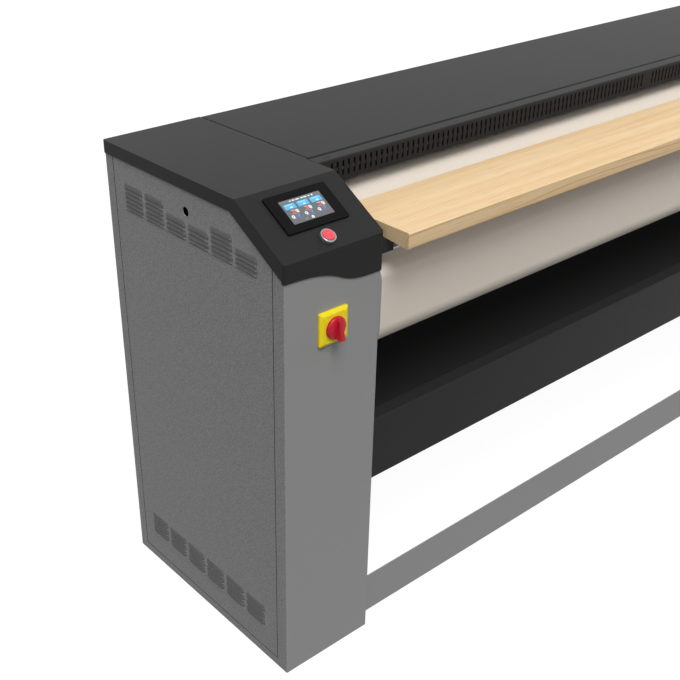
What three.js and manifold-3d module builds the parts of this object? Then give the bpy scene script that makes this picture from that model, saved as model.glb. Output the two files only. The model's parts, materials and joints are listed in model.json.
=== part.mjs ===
// Wall-type flatwork ironer: two end cabinets joined by cross bars carry a heated cylinder and an
// ironing belt on five rollers. A feed board stands in front, a return tray lies below.
// Millimetres. x runs along the machine from its left end, y from its front face to the rear, z up.
import * as THREE from 'three';
import { mergeVertices } from 'three/addons/utils/BufferGeometryUtils.js';
import Module from 'manifold-3d';

const wasm = await Module();
wasm.setup();

// ---- driving dimensions ----
const machineLength = 2850;
const machineHeight = 1125;
const sheet = 2;
const fitGap = 0.3;
const sheetBend = 3;
const cutPast = 1;

const cabinet = {
  width: 256, depth: 622, cornerRadius: 5, bottomFlange: 25, consoleBendY: 148, consoleDrop: 86.7,
};
const skirt = {
  depth: 29, frontDrop: 125, waveHighDrop: 126, waveLowDrop: 168, waveEase: [0.64, 0.47], waveEnd: 0.879,
  frontReturn: 5,
};
const servicePanel = {
  frontY: 36, toRear: 33, bottomZ: 23.5, topInset: 20, seam: 1, ledge: 10, overlap: 6,
};
const louvre = {
  length: 66, frontMargin: 47.5, rearMargin: 43, pitch: 10, slotHeight: 3.5, hoodHeight: 5.5,
  hoodProud: 2.2, upperDrop: 141, lowerZ: 87, upperCounts: [6, 6, 4, 4, 6, 4],
  lowerCounts: [6, 6, 6, 6, 6, 6],
};

const hood = { seam: 3, rearSeam: 4, ledgeWidth: 20, ledgeClear: 4, coverTongue: 4, frontLip: 18 };
const ventStrip = {
  toRear: 422, width: 34, bottomDrop: 53, rearLip: 12, hem: 6, endGap: 1, lipClear: 4, slotPitch: 16,
  slotWidth: 5.5, slotBottomDrop: 42, slotTopDrop: 9, firstSlotX: 295, middleBreak: 42,
};
const guard = {
  behindFace: 9, drop: 29, rodRadius: 4, flapDepth: 19, lugX: 280, lugThickness: 4, lugDepth: 20, lugDrop: 10,
  endClear: 2,
};

const board = {
  frontY: -58, rearY: 136, drop: 75, thickness: 35, rearThickness: 17, endX: 266, edgeRadius: 3,
};
const boardBracket = { width: 30.7, frontY: 3, rearY: 80, bottomDrop: 135, wall: 3 };
const rail = { frontY: 8, rearY: 45, thickness: 2 };

const belt = { thickness: 4, endX: 263, gap: 0.4, arcStep: 10, cylinderArcStep: 7 };
const cylinder = { toRear: 217, drop: 177, radius: 150, wall: 8, endX: 264, discThickness: 12 };
const trunnion = { radius: 30, endX: 180, wallClear: 6, pilotRadius: 10, pilotDepth: 14, boreRadius: 22 };
const roller = { endX: 262.5, shaftRadius: 10, shaftGap: 0.8 };
const noseRoller = { y: 43, drop: 198, radius: 26.6, inside: true };
const nipRoller = { toRear: 377, drop: 101, radius: 21.6, inside: true };
const rearUpperRoller = { toRear: 52, drop: 90, radius: 21.6, inside: true };
const rearLowerRoller = { toRear: 77, drop: 350, radius: 21.6, inside: true };
const frontReturnRoller = { y: 72, drop: 305, radius: 55.6, inside: true };
const endPlate = { thickness: 7.5, margin: 6, boreClear: 1.5, arcStep: 18 };
const bearing = { flange: 120, flangeThickness: 12, cornerRadius: 15, bossRadius: 45, bossLength: 20 };

const tray = {
  frontY: 12, bottomDrop: 695, rimDrop: 536, rimDepth: 40, returnLip: 28, footY: 80, footDrop: 655,
  floorY: 150, floorDrop: 662, slideTopDrop: 435, slideSetback: 18, slideRise: 30, lipDrop: 385,
  bendRadius: 5,
};
const crossbar = {
  frontY: 20, toRear: 24, bottomZ: 18, height: 115, depth: 38, thickness: 2.5, bendRadius: 5,
};
const rearPanel = { bottomDrop: 705, flange: 20 };

const pulley = { x: 186, width: 26, rim: 3, rimProud: 4, cylinderRadius: 75, motorRadius: 25 };
const driveBelt = { thickness: 5, sideGap: 0.6 };
const crank = { toRear: 306, drop: 76, holeRadius: 10.5, stubRadius: 9, stubLength: 44, endX: 16 };
const driveShaft = { radius: 12, endProud: 2 };
const gearbox = {
  x: 75, width: 100, halfSize: 55, cornerRadius: 14, motorRadius: 45, motorLength: 188, cowlProud: 4,
  cowlLength: 40,
};
const hanger = { thickness: 6, legLength: 45, bendRadius: 8, holeClear: 2 };

const touchPanel = {
  u: 52, v: 57, width: 155, height: 94, proud: 4.8, radius: 2.5,
  screenU: 78.6, screenV: 75, screenWidth: 102, screenHeight: 58, recess: 1.3, screenThickness: 0.9,
  bodyInset: 8, bodyDepth: 33,
};
const stopButton = {
  u: 127.6, v: 28.4, ringRadius: 16.6, ringProud: 9, ringBevel: 1.5, wellRadius: 13.3, wellClear: 4,
  capRadius: 13, capLow: 6, capProud: 11.6, capBevel: 1, neckRadius: 10.7, stemRadius: 3.7, stemLength: 20,
  bodyDepth: 30, wall: 4,
};
const mainSwitch = {
  x: 124, drop: 251, plate: 75, plateThickness: 9, plateRadius: 5, bevel: 2, knobRadius: 25, knobBase: 8,
  gripWidth: 14, gripProud: 26, stemRadius: 5, stemLength: 26, stemClear: 3, wallClear: 5, body: 60,
  bodyDepth: 55,
};
const controlPlate = { y: 160, z: 300, depth: 340, height: 460, thickness: 3 };
const contactors = {
  fromFront: 30, fromBottom: 120, railHeight: 35, railDepth: 8, height: 80, gap: 8,
  sizes: [[45, 58], [45, 58], [70, 48], [36, 44], [54, 52]],
};

const heater = {
  tubeRadius: 18, rodRadius: 6, rodCircle: 100, rodCount: 6, spiderRadius: 110, spiderThickness: 6,
  spiderCount: 3, firstX: 300, innerEndX: 300,
};
const heaterBox = { x: 90, width: 60, halfSize: 60, shelfClear: 22 };

const fan = {
  toRear: 142, drop: 463, width: 102, tongueRadius: 62, scrollRadius: 80, tongueAngle: 20, inletRadius: 40,
  impellerRadius: 54, bladeCount: 8, bladeDepth: 18, bladeInset: 2, bladeTilt: 0.5, inletClear: 8,
  discClear: 4, hubRadius: 14, hubLength: 20, hubClear: 2, shaftRadius: 8, shaftLength: 30, motorRadius: 45,
  motorLength: 80,
};
const spigot = { radius: 50, wall: 2, length: 39.7, flange: 130, flangeThickness: 3, cornerRadius: 8 };
const facets = { cylinder: 36, large: 20, small: 12, corner: 3, scroll: 12 };

// ---- values that follow from them ----
// These pieces keep their distance to the rear and their drop below the top.
for (const piece of [cylinder, nipRoller, rearUpperRoller, rearLowerRoller, crank, fan]) {
  piece.y = cabinet.depth - piece.toRear;
  piece.z = machineHeight - piece.drop;
}
for (const piece of [noseRoller, frontReturnRoller, mainSwitch]) {
  piece.z = machineHeight - piece.drop;
}
const shellInset = sheet + fitGap;
const casingOuterX = cabinet.width - shellInset;
const casingInnerX = casingOuterX - sheet;
const workZoneX = casingOuterX + fitGap;
const insideWallX = casingInnerX - fitGap;
const casingRearY = cabinet.depth - shellInset;
const consoleFrontZ = machineHeight - cabinet.consoleDrop;
const skirtFrontZ = machineHeight - skirt.frontDrop;
const waveHighZ = machineHeight - skirt.waveHighDrop;
const waveLowZ = machineHeight - skirt.waveLowDrop;
const panelRearY = cabinet.depth - servicePanel.toRear;
const stripFaceY = cabinet.depth - ventStrip.toRear;
const stripRearY = stripFaceY + ventStrip.width;
const stripBottomZ = machineHeight - ventStrip.bottomDrop;
const hoodFrontY = stripRearY + hood.rearSeam;
const guardY = stripFaceY + guard.behindFace;
const guardZ = machineHeight - guard.drop;
const boardTopZ = machineHeight - board.drop;
const boardBottomZ = boardTopZ - board.thickness;
const slopeRise = cabinet.consoleDrop / cabinet.consoleBendY;
const slopeAngle = Math.atan(slopeRise);
const skirtBendY = (machineHeight - skirt.depth - skirtFrontZ) / slopeRise;
const fullTurn = 2 * Math.PI;
const middleX = machineLength / 2;

// ---- solids ----
// A closed geometry becomes a solid with its shared vertices merged and its faces pointing out.
function solid(geometry) {
  const bare = geometry.index ? geometry.toNonIndexed() : geometry.clone();
  bare.deleteAttribute('normal');
  bare.deleteAttribute('uv');
  const merged = mergeVertices(bare, 1e-4);
  const points = merged.attributes.position.array;
  const triangles = [];
  let volume = 0;
  for (let i = 0; i < merged.index.count; i += 3) {
    const [a, b, c] = merged.index.array.slice(i, i + 3);
    if (a === b || b === c || a === c) continue;
    triangles.push(a, b, c);
    const [p, q, r] = [a, b, c].map((k) => new THREE.Vector3().fromArray(points, 3 * k));
    volume += p.dot(q.cross(r));
  }
  if (volume < 0) triangles.reverse();
  return new wasm.Manifold(new wasm.Mesh({
    numProp: 3, vertProperties: new Float32Array(points), triVerts: new Uint32Array(triangles),
  }));
}

function surfaceOf(body) {
  const mesh = body.getMesh();
  const geometry = new THREE.BufferGeometry();
  geometry.setAttribute('position', new THREE.BufferAttribute(new Float32Array(mesh.vertProperties), 3));
  geometry.setIndex(new THREE.BufferAttribute(new Uint32Array(mesh.triVerts), 1));
  geometry.computeVertexNormals();
  return geometry;
}

// The same piece for the right end of the machine.
function mirrored(body) {
  const geometry = surfaceOf(body);
  geometry.scale(-1, 1, 1);
  geometry.translate(machineLength, 0, 0);
  return solid(geometry);
}

function shapeOf(points) {
  return new THREE.Shape(points.map(([a, b]) => new THREE.Vector2(a, b)));
}

function extruded(shape, depth, matrix) {
  const geometry = new THREE.ExtrudeGeometry(shape, { depth, bevelEnabled: false });
  geometry.applyMatrix4(matrix);
  return solid(geometry);
}

// Outline of [y, z] points carried along x.
function alongX(points, fromX, toX) {
  const place = new THREE.Matrix4().set(0, 0, 1, fromX, 1, 0, 0, 0, 0, 1, 0, 0, 0, 0, 0, 1);
  return extruded(shapeOf(points), toX - fromX, place);
}

// Outline of [x, z] points carried along y.
function alongY(points, fromY, toY) {
  const place = new THREE.Matrix4().set(0, 1, 0, 0, 0, 0, 1, fromY, 1, 0, 0, 0, 0, 0, 0, 1);
  return extruded(shapeOf(points.map(([x, z]) => [z, x])), toY - fromY, place);
}

// Outline of [x, y] points carried up z.
function alongZ(points, fromZ, toZ) {
  return extruded(shapeOf(points), toZ - fromZ, new THREE.Matrix4().makeTranslation(0, 0, fromZ));
}

function box(fromX, toX, fromY, toY, fromZ, toZ) {
  const geometry = new THREE.BoxGeometry(toX - fromX, toY - fromY, toZ - fromZ);
  geometry.translate((fromX + toX) / 2, (fromY + toY) / 2, (fromZ + toZ) / 2);
  return solid(geometry);
}

// Profile of [x, radius] points turned round the line through y, z that runs along x.
function turnedAboutX(profile, y, z, segments) {
  const geometry = new THREE.LatheGeometry(profile.map(([x, r]) => new THREE.Vector2(r, x)), segments);
  geometry.rotateZ(-Math.PI / 2);
  geometry.translate(0, y, z);
  return solid(geometry);
}

function rodAlongX(y, z, radius, fromX, toX, segments = facets.small) {
  return turnedAboutX([[fromX, 0], [fromX, radius], [toX, radius], [toX, 0]], y, z, segments);
}

function rodAlongY(x, z, radius, fromY, toY, segments = facets.small) {
  const geometry = new THREE.CylinderGeometry(radius, radius, toY - fromY, segments);
  geometry.translate(x, (fromY + toY) / 2, z);
  return solid(geometry);
}

// A bore keeps its radius at the middle of its facets, so that a round shaft turns freely in it.
function boreAlongX(y, z, radius, fromX, toX, segments = facets.large) {
  return rodAlongX(y, z, radius / Math.cos(Math.PI / segments), fromX, toX, segments);
}

// ---- outlines ----
function rectangle(fromA, toA, fromB, toB) {
  return [[fromA, fromB], [toA, fromB], [toA, toB], [fromA, toB]];
}

// Corners of a closed or open path rounded by arcs, never longer than half a side.
function filleted(path, radius, closed) {
  const steps = facets.corner;
  const rounded = [];
  path.forEach((corner, i) => {
    const isEnd = !closed && (i === 0 || i === path.length - 1);
    if (isEnd) {
      rounded.push(corner);
      return;
    }
    const before = path[(i + path.length - 1) % path.length];
    const after = path[(i + 1) % path.length];
    const here = new THREE.Vector2(...corner);
    const back = new THREE.Vector2(...before).sub(here);
    const ahead = new THREE.Vector2(...after).sub(here);
    const halfSide = Math.min(back.length(), ahead.length()) / 2;
    back.normalize();
    ahead.normalize();
    const halfAngle = Math.acos(THREE.MathUtils.clamp(back.dot(ahead), -1, 1)) / 2;
    const reach = Math.min(radius / Math.tan(halfAngle), halfSide);
    const arcRadius = reach * Math.tan(halfAngle);
    const centre = back.clone().add(ahead).normalize().multiplyScalar(arcRadius / Math.sin(halfAngle));
    centre.add(here);
    const start = back.multiplyScalar(reach).add(here).sub(centre);
    const end = ahead.multiplyScalar(reach).add(here).sub(centre);
    const turn = Math.atan2(start.cross(end), start.dot(end));
    for (let k = 0; k <= steps; k += 1) {
      const point = start.clone().rotateAround(new THREE.Vector2(), (turn * k) / steps).add(centre);
      rounded.push([point.x, point.y]);
    }
  });
  return rounded;
}

// Path moved sideways to its left by a distance, with mitred corners.
function offsetPath(path, distance, closed) {
  return path.map((corner, i) => {
    const before = closed ? path[(i + path.length - 1) % path.length] : path[Math.max(i - 1, 0)];
    const after = closed ? path[(i + 1) % path.length] : path[Math.min(i + 1, path.length - 1)];
    const here = new THREE.Vector2(...corner);
    const into = here.clone().sub(new THREE.Vector2(...before)).normalize();
    const out = new THREE.Vector2(...after).sub(here).normalize();
    const first = into.lengthSq() > 0 ? into : out;
    const second = out.lengthSq() > 0 ? out : into;
    const normal = new THREE.Vector2(-first.y - second.y, first.x + second.x).normalize();
    const reach = distance / (-normal.x * first.y + normal.y * first.x);
    return [corner[0] + normal.x * reach, corner[1] + normal.y * reach];
  });
}

// Cross-section of a sheet bent along a centre line.
function bentSheet(path, thickness, bendRadius) {
  const centreLine = filleted(path, bendRadius, false);
  const left = offsetPath(centreLine, thickness / 2, false);
  const right = offsetPath(centreLine, -thickness / 2, false);
  return [...left, ...right.reverse()];
}

// Loop of a belt round wheels, at a height above the belt's inner face. Wheels stand in the order
// that the belt meets them, clockwise; the belt's outer face runs on a wheel that is not inside.
function beltLoop(wheels, height, thickness, arcStep = belt.arcStep) {
  const reach = wheels.map((wheel) => (wheel.inside
    ? wheel.radius + belt.gap + height
    : -(wheel.radius + belt.gap + thickness - height)));
  const heading = wheels.map((wheel, i) => {
    const next = (i + 1) % wheels.length;
    const dy = wheels[next].y - wheel.y;
    const dz = wheels[next].z - wheel.z;
    return Math.atan2(dz, dy) - Math.asin((reach[i] - reach[next]) / Math.hypot(dy, dz));
  });
  return wheels.flatMap((wheel, i) => {
    const arriving = heading[(i + wheels.length - 1) % wheels.length];
    const turn = THREE.MathUtils.euclideanModulo(heading[i] - arriving, fullTurn);
    const swept = wheel.inside ? turn - fullTurn : turn;
    const stepSize = wheel.inside ? arcStep : belt.cylinderArcStep;
    const steps = Math.ceil(Math.abs(THREE.MathUtils.radToDeg(swept)) / stepSize);
    return Array.from({ length: steps + 1 }, (_, k) => {
      const angle = arriving + (swept * k) / steps;
      return [wheel.y - reach[i] * Math.sin(angle), wheel.z + reach[i] * Math.cos(angle)];
    });
  });
}

// Side outline of a cabinet in y and z, drawn in by a distance and reaching down to a level.
function cabinetSide(inset, bottomZ) {
  const slopeDrop = inset / Math.cos(slopeAngle);
  const frontZ = consoleFrontZ + slopeRise * inset - slopeDrop;
  const topZ = machineHeight - inset;
  const bendY = (topZ - consoleFrontZ + slopeDrop) / slopeRise;
  return [[inset, bottomZ], [cabinet.depth - inset, bottomZ], [cabinet.depth - inset, topZ],
    [bendY, topZ], [inset, frontZ]];
}

// Plan outline of a cabinet in x and y with its rounded upright edges.
function cabinetPlan(inset) {
  const outline = rectangle(inset, cabinet.width - inset, inset, cabinet.depth - inset);
  return filleted(outline, Math.max(cabinet.cornerRadius - inset, fitGap), true);
}

function cabinetBlock(inset, bottomZ) {
  const side = alongX(cabinetSide(inset, bottomZ), 0, cabinet.width);
  return side.intersect(alongZ(cabinetPlan(inset), bottomZ, machineHeight));
}

// ---- finishes ----
function finish(color, roughness, metalness) {
  return new THREE.MeshStandardMaterial({ color, roughness, metalness });
}
const greyPaint = () => finish('#6f6f70', 0.6, 0.1);
const blackPaint = () => finish('#3c3c3c', 0.5, 0.1);
const steel = () => finish('#b4b6b8', 0.35, 0.9);
const galvanised = () => finish('#c8cacc', 0.45, 0.8);
const castIron = () => finish('#55585c', 0.6, 0.6);
const blackPlastic = () => finish('#222324', 0.45, 0);

const machine = new THREE.Group();
function add(name, body, material) {
  const node = new THREE.Mesh(surfaceOf(body), material);
  node.name = name;
  machine.add(node);
}

// ---- end cabinets ----
// Opening for the service panel in y and z, grown by a distance.
function serviceOpening(grow) {
  const topInset = servicePanel.topInset - grow;
  const [, , , bend, front] = cabinetSide(topInset, 0);
  const frontY = servicePanel.frontY - grow;
  const rearY = panelRearY + grow;
  const bottomZ = servicePanel.bottomZ - grow;
  const frontZ = front[1] + (frontY - front[0]) * slopeRise;
  return [[frontY, bottomZ], [rearY, bottomZ], [rearY, bend[1]], bend, [frontY, frontZ]];
}

function casing(wallHoles) {
  const inset = shellInset;
  const cavityInset = inset + sheet;
  const outer = cabinetBlock(inset, 0);
  const cavity = alongZ(cabinetPlan(cavityInset), sheet, machineHeight + cutPast);
  const floorHole = cavityInset + cabinet.bottomFlange;
  const floorOpening = box(floorHole, cabinet.width - floorHole, floorHole, cabinet.depth - floorHole,
    -cutPast, sheet + cutPast);
  const opening = alongX(serviceOpening(0), 0, cavityInset + cutPast);
  const shell = outer.subtract(cavity).subtract(floorOpening).subtract(opening);
  const ledgeX = cavityInset + fitGap;
  const spacer = alongX(serviceOpening(servicePanel.overlap), cavityInset - sheet / 2, ledgeX + sheet);
  const window = alongX(serviceOpening(-servicePanel.ledge), 0, ledgeX + sheet + cutPast);
  const seat = spacer.subtract(alongX(serviceOpening(0), 0, ledgeX)).subtract(window);
  return wallHoles.reduce((body, hole) => body.subtract(hole), shell.add(seat));
}

function sidePanel(extraCuts) {
  const plate = alongX(serviceOpening(-servicePanel.seam), shellInset, shellInset + sheet);
  const rearmostY = panelRearY - louvre.rearMargin - louvre.length;
  const foremostY = servicePanel.frontY + louvre.frontMargin;
  const row = (counts, lowZ) => counts.flatMap((count, i) => Array.from({ length: count }, (_, k) => ({
    y: rearmostY + ((foremostY - rearmostY) * i) / (counts.length - 1), z: lowZ + k * louvre.pitch,
  })));
  const upperZ = machineHeight - louvre.upperDrop;
  const louvres = [...row(louvre.upperCounts, upperZ), ...row(louvre.lowerCounts, louvre.lowerZ)];
  const slots = louvres.map(({ y, z }) => (
    box(0, shellInset + sheet + cutPast, y, y + louvre.length, z, z + louvre.slotHeight)));
  const hoodFoot = shellInset + sheet / 2;
  const hoods = louvres.map(({ y, z }) => {
    const lowZ = z + louvre.slotHeight;
    const profile = [[hoodFoot, lowZ], [hoodFoot, lowZ + louvre.hoodHeight],
      [shellInset, lowZ + louvre.hoodHeight], [shellInset - louvre.hoodProud, lowZ]];
    return alongY(profile, y, y + louvre.length);
  });
  const cutters = wasm.Manifold.union([...slots, ...extraCuts]);
  return plate.subtract(cutters).add(wasm.Manifold.union(hoods));
}

// Cover over a cabinet: top, sloped console front and skirts, with a tongue and a ledge for the hood.
function cover(consoleCuts) {
  const shell = cabinetBlock(0, waveLowZ - cutPast).subtract(cabinetBlock(sheet, 0));
  const frontDepth = sheet + skirt.frontReturn;
  const skirtZ = machineHeight - skirt.depth;
  const pastRear = cabinet.depth + cutPast;
  const belowSkirt = [[frontDepth, 0], [pastRear, 0], [pastRear, skirtZ], [skirtBendY, skirtZ],
    [frontDepth, skirtFrontZ + slopeRise * frontDepth]];
  const sideCut = alongX(belowSkirt, -cutPast, cabinet.width + cutPast);
  const wave = new THREE.CubicBezierCurve(
    new THREE.Vector2(0, waveHighZ),
    new THREE.Vector2(skirt.waveEase[0] * cabinet.width, waveHighZ),
    new THREE.Vector2(skirt.waveEase[1] * cabinet.width, waveLowZ),
    new THREE.Vector2(skirt.waveEnd * cabinet.width, waveLowZ),
  ).getPoints(facets.scroll).map((point) => [point.x, point.y]);
  const underWave = [[-cutPast, 0], [-cutPast, waveHighZ], ...wave,
    [cabinet.width + cutPast, waveLowZ], [cabinet.width + cutPast, 0]];
  const waveCut = alongY(underWave, -cutPast, frontDepth);
  const tongue = box(cabinet.width - sheet, cabinet.width + hood.coverTongue, hoodFrontY, cabinet.depth,
    machineHeight - sheet, machineHeight);
  const ledgeTop = machineHeight - shellInset;
  const ledge = box(cabinet.width - sheet, cabinet.width + hood.ledgeWidth, stripFaceY + hood.ledgeClear,
    cabinet.depth - shellInset - sheet, ledgeTop - sheet, ledgeTop);
  const body = shell.subtract(sideCut).subtract(waveCut).add(tongue).add(ledge);
  return consoleCuts.reduce((result, cut) => result.subtract(cut), body);
}

// Solids drawn on the console slope: u across, v up the slope, w out of it.
const consoleFrame = new THREE.Matrix4().makeBasis(
  new THREE.Vector3(1, 0, 0),
  new THREE.Vector3(0, Math.cos(slopeAngle), Math.sin(slopeAngle)),
  new THREE.Vector3(0, -Math.sin(slopeAngle), Math.cos(slopeAngle)),
).setPosition(0, 0, consoleFrontZ);

function onConsole(points, fromW, toW) {
  const place = consoleFrame.clone().multiply(new THREE.Matrix4().makeTranslation(0, 0, fromW));
  return extruded(shapeOf(points), toW - fromW, place);
}

function turnedOnConsole(profile, segments) {
  const geometry = new THREE.LatheGeometry(profile.map(([r, w]) => new THREE.Vector2(r, w)), segments);
  geometry.rotateX(Math.PI / 2);
  geometry.translate(stopButton.u, stopButton.v, 0);
  geometry.applyMatrix4(consoleFrame);
  return solid(geometry);
}

const panelFrame = rectangle(touchPanel.u, touchPanel.u + touchPanel.width,
  touchPanel.v, touchPanel.v + touchPanel.height);
const panelBody = offsetPath(panelFrame, touchPanel.bodyInset, true);
const screenOutline = rectangle(touchPanel.screenU, touchPanel.screenU + touchPanel.screenWidth,
  touchPanel.screenV, touchPanel.screenV + touchPanel.screenHeight);

const panelCut = onConsole(offsetPath(panelBody, -fitGap, true), -sheet - cutPast, cutPast);
const neckHoleRadius = stopButton.neckRadius + fitGap;
const buttonCut = turnedOnConsole([[0, -sheet - cutPast], [neckHoleRadius, -sheet - cutPast],
  [neckHoleRadius, cutPast], [0, cutPast]], facets.large);

// Cutter through the inner wall of a casing.
function wallHole(y, z, radius) {
  return rodAlongX(y, z, radius, casingInnerX - cutPast, casingOuterX + cutPast, facets.large);
}
const trunnionHole = wallHole(cylinder.y, cylinder.z, trunnion.radius + trunnion.wallClear);
const inletHole = wallHole(fan.y, fan.z, fan.inletRadius);
const pastShell = shellInset + sheet + cutPast;
const switchHole = rodAlongY(mainSwitch.x, mainSwitch.z, mainSwitch.stemRadius + mainSwitch.wallClear,
  0, pastShell);
const crankHole = rodAlongX(crank.y, crank.z, crank.holeRadius, 0, pastShell);

// The fan blows to the rear, and the spigot stands in the middle of its outlet.
const fanX = insideWallX - fan.width;
const spigotX = fanX + fan.width / 2;
const outletTopZ = fan.z + fan.tongueRadius * Math.sin(THREE.MathUtils.degToRad(fan.tongueAngle));
const spigotZ = (outletTopZ + fan.z - fan.scrollRadius) / 2;
const exhaustHole = rodAlongY(spigotX, spigotZ, spigot.radius - spigot.wall,
  casingRearY - sheet - cutPast, casingRearY + cutPast, facets.large);

add('left_casing', casing([trunnionHole, switchHole]), greyPaint());
add('left_side_panel', sidePanel([crankHole]), greyPaint());
add('left_cover', cover([panelCut, buttonCut]), blackPaint());
add('right_casing', mirrored(casing([trunnionHole, inletHole, exhaustHole])), greyPaint());
add('right_side_panel', mirrored(sidePanel([])), greyPaint());
add('right_cover', mirrored(cover([])), blackPaint());

// ---- hood, vent strip and finger guard ----
const hoodX = cabinet.width + hood.coverTongue + hood.seam;
const lipX = cabinet.width + hood.ledgeWidth + ventStrip.lipClear;

// The lips stop short of the covers' ledges, where only the flat top sheet goes on.
function lipTrimmed(body, fromY, toY) {
  const leftTrim = box(0, lipX, fromY, toY, 0, machineHeight - shellInset);
  const rightTrim = box(machineLength - lipX, machineLength, fromY, toY, 0, machineHeight - shellInset);
  return body.subtract(leftTrim).subtract(rightTrim);
}

const topLine = machineHeight - sheet / 2;
const hoodLineY = hoodFrontY + sheet / 2;
const hoodRearY = cabinet.depth - sheet / 2;
const hoodPath = [[hoodLineY, machineHeight - hood.frontLip], [hoodLineY, topLine],
  [hoodRearY, topLine], [hoodRearY, machineHeight - skirt.depth]];
const hoodSheet = alongX(bentSheet(hoodPath, sheet, sheetBend), hoodX, machineLength - hoodX);
add('top_hood', lipTrimmed(hoodSheet, stripRearY, hoodFrontY + sheet + sheetBend), blackPaint());

const stripX = cabinet.width + ventStrip.endGap;
const stripLineY = stripFaceY + sheet / 2;
const stripPath = [[stripFaceY + ventStrip.hem, stripBottomZ + sheet / 2],
  [stripLineY, stripBottomZ + sheet / 2], [stripLineY, topLine],
  [stripRearY - sheet / 2, topLine], [stripRearY - sheet / 2, machineHeight - ventStrip.rearLip]];
const stripSheet = alongX(bentSheet(stripPath, sheet, sheetBend), stripX, machineLength - stripX);
const slotBottomZ = machineHeight - ventStrip.slotBottomDrop;
const slotTopZ = machineHeight - ventStrip.slotTopDrop;
const slotSpan = machineLength - 2 * ventStrip.firstSlotX;
const slotPitches = Math.round(slotSpan / ventStrip.slotPitch);
const ventSlots = [];
for (let i = 0; i <= slotPitches; i += 1) {
  const x = ventStrip.firstSlotX + (slotSpan * i) / slotPitches;
  if (Math.abs(x - middleX) > ventStrip.middleBreak / 2) {
    ventSlots.push(box(x - ventStrip.slotWidth / 2, x + ventStrip.slotWidth / 2, stripFaceY - cutPast,
      stripFaceY + sheet + cutPast, slotBottomZ, slotTopZ));
  }
}
const lugOutline = rectangle(stripLineY, stripLineY + guard.lugDepth, guardZ - guard.lugDrop, topLine);
const lugBore = boreAlongX(guardY, guardZ, guard.rodRadius + fitGap, 0, machineLength, facets.small);
const lug = alongX(lugOutline, guard.lugX, guard.lugX + guard.lugThickness);
const slottedStrip = stripSheet.subtract(wasm.Manifold.union(ventSlots));
const stripMiddleY = (stripFaceY + stripRearY) / 2;
const ventBody = lipTrimmed(slottedStrip, stripMiddleY, stripRearY + cutPast);
add('vent_strip', ventBody.add(lug).add(mirrored(lug)).subtract(lugBore), blackPaint());

const flapX = guard.lugX + guard.lugThickness + guard.endClear;
const flap = box(flapX, machineLength - flapX, guardY - sheet / 2, guardY + sheet / 2,
  guardZ - guard.flapDepth, guardZ);
const rodEndX = guard.lugX - guard.endClear;
const guardRod = rodAlongX(guardY, guardZ, guard.rodRadius, rodEndX, machineLength - rodEndX);
add('finger_guard', guardRod.add(flap), steel());

// ---- feed board ----
const boardOutline = filleted([[board.frontY, boardBottomZ], [board.rearY, boardTopZ - board.rearThickness],
  [board.rearY, boardTopZ], [board.frontY, boardTopZ]], board.edgeRadius, true);
add('feed_board', alongX(boardOutline, board.endX, machineLength - board.endX), finish('#e8c9a0', 0.6, 0));

// Brackets and rail follow the underside of the board, which rises towards the rear.
const boardRise = (board.thickness - board.rearThickness) / (board.rearY - board.frontY);
const underBoard = (y) => boardBottomZ + boardRise * (y - board.frontY) - fitGap;
const bracketLowZ = machineHeight - boardBracket.bottomDrop;
const bracketX = cabinet.width + fitGap;
const bracketEndX = bracketX + boardBracket.width;
function bracketBlock(fromX, toX, fromY, toY, lowZ, belowBoard) {
  return alongX([[fromY, lowZ], [toY, lowZ], [toY, underBoard(toY) - belowBoard],
    [fromY, underBoard(fromY) - belowBoard]], fromX, toX);
}
const bracketHollow = bracketBlock(bracketX + boardBracket.wall, bracketEndX - boardBracket.wall,
  boardBracket.frontY + boardBracket.wall, boardBracket.rearY + cutPast, 0, boardBracket.wall);
const boardBracketBody = bracketBlock(bracketX, bracketEndX, boardBracket.frontY, boardBracket.rearY,
  bracketLowZ, 0).subtract(bracketHollow);
add('board_bracket_left', boardBracketBody, blackPaint());
add('board_bracket_right', mirrored(boardBracketBody), blackPaint());

const railMiddle = rail.thickness / 2;
const railLow = bracketLowZ + railMiddle;
const railWebY = rail.rearY - railMiddle;
const railPath = [[rail.frontY, railLow], [railWebY, railLow], [railWebY, underBoard(railWebY) - railMiddle],
  [rail.frontY, underBoard(rail.frontY) - railMiddle]];
const railX = bracketEndX + fitGap;
const railSheet = bentSheet(railPath, rail.thickness, sheetBend);
add('board_rail', alongX(railSheet, railX, machineLength - railX), galvanised());

// ---- belt, cylinder and rollers ----
const hotCylinder = { y: cylinder.y, z: cylinder.z, radius: cylinder.radius, inside: false };
const beltTrain = [noseRoller, nipRoller, hotCylinder, rearUpperRoller, rearLowerRoller, frontReturnRoller];
const beltOuter = alongX(beltLoop(beltTrain, belt.thickness, belt.thickness),
  belt.endX, machineLength - belt.endX);
const beltInner = alongX(beltLoop(beltTrain, 0, belt.thickness), 0, machineLength);
add('ironing_belt', beltOuter.subtract(beltInner), finish('#e6dccd', 0.9, 0));

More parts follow.
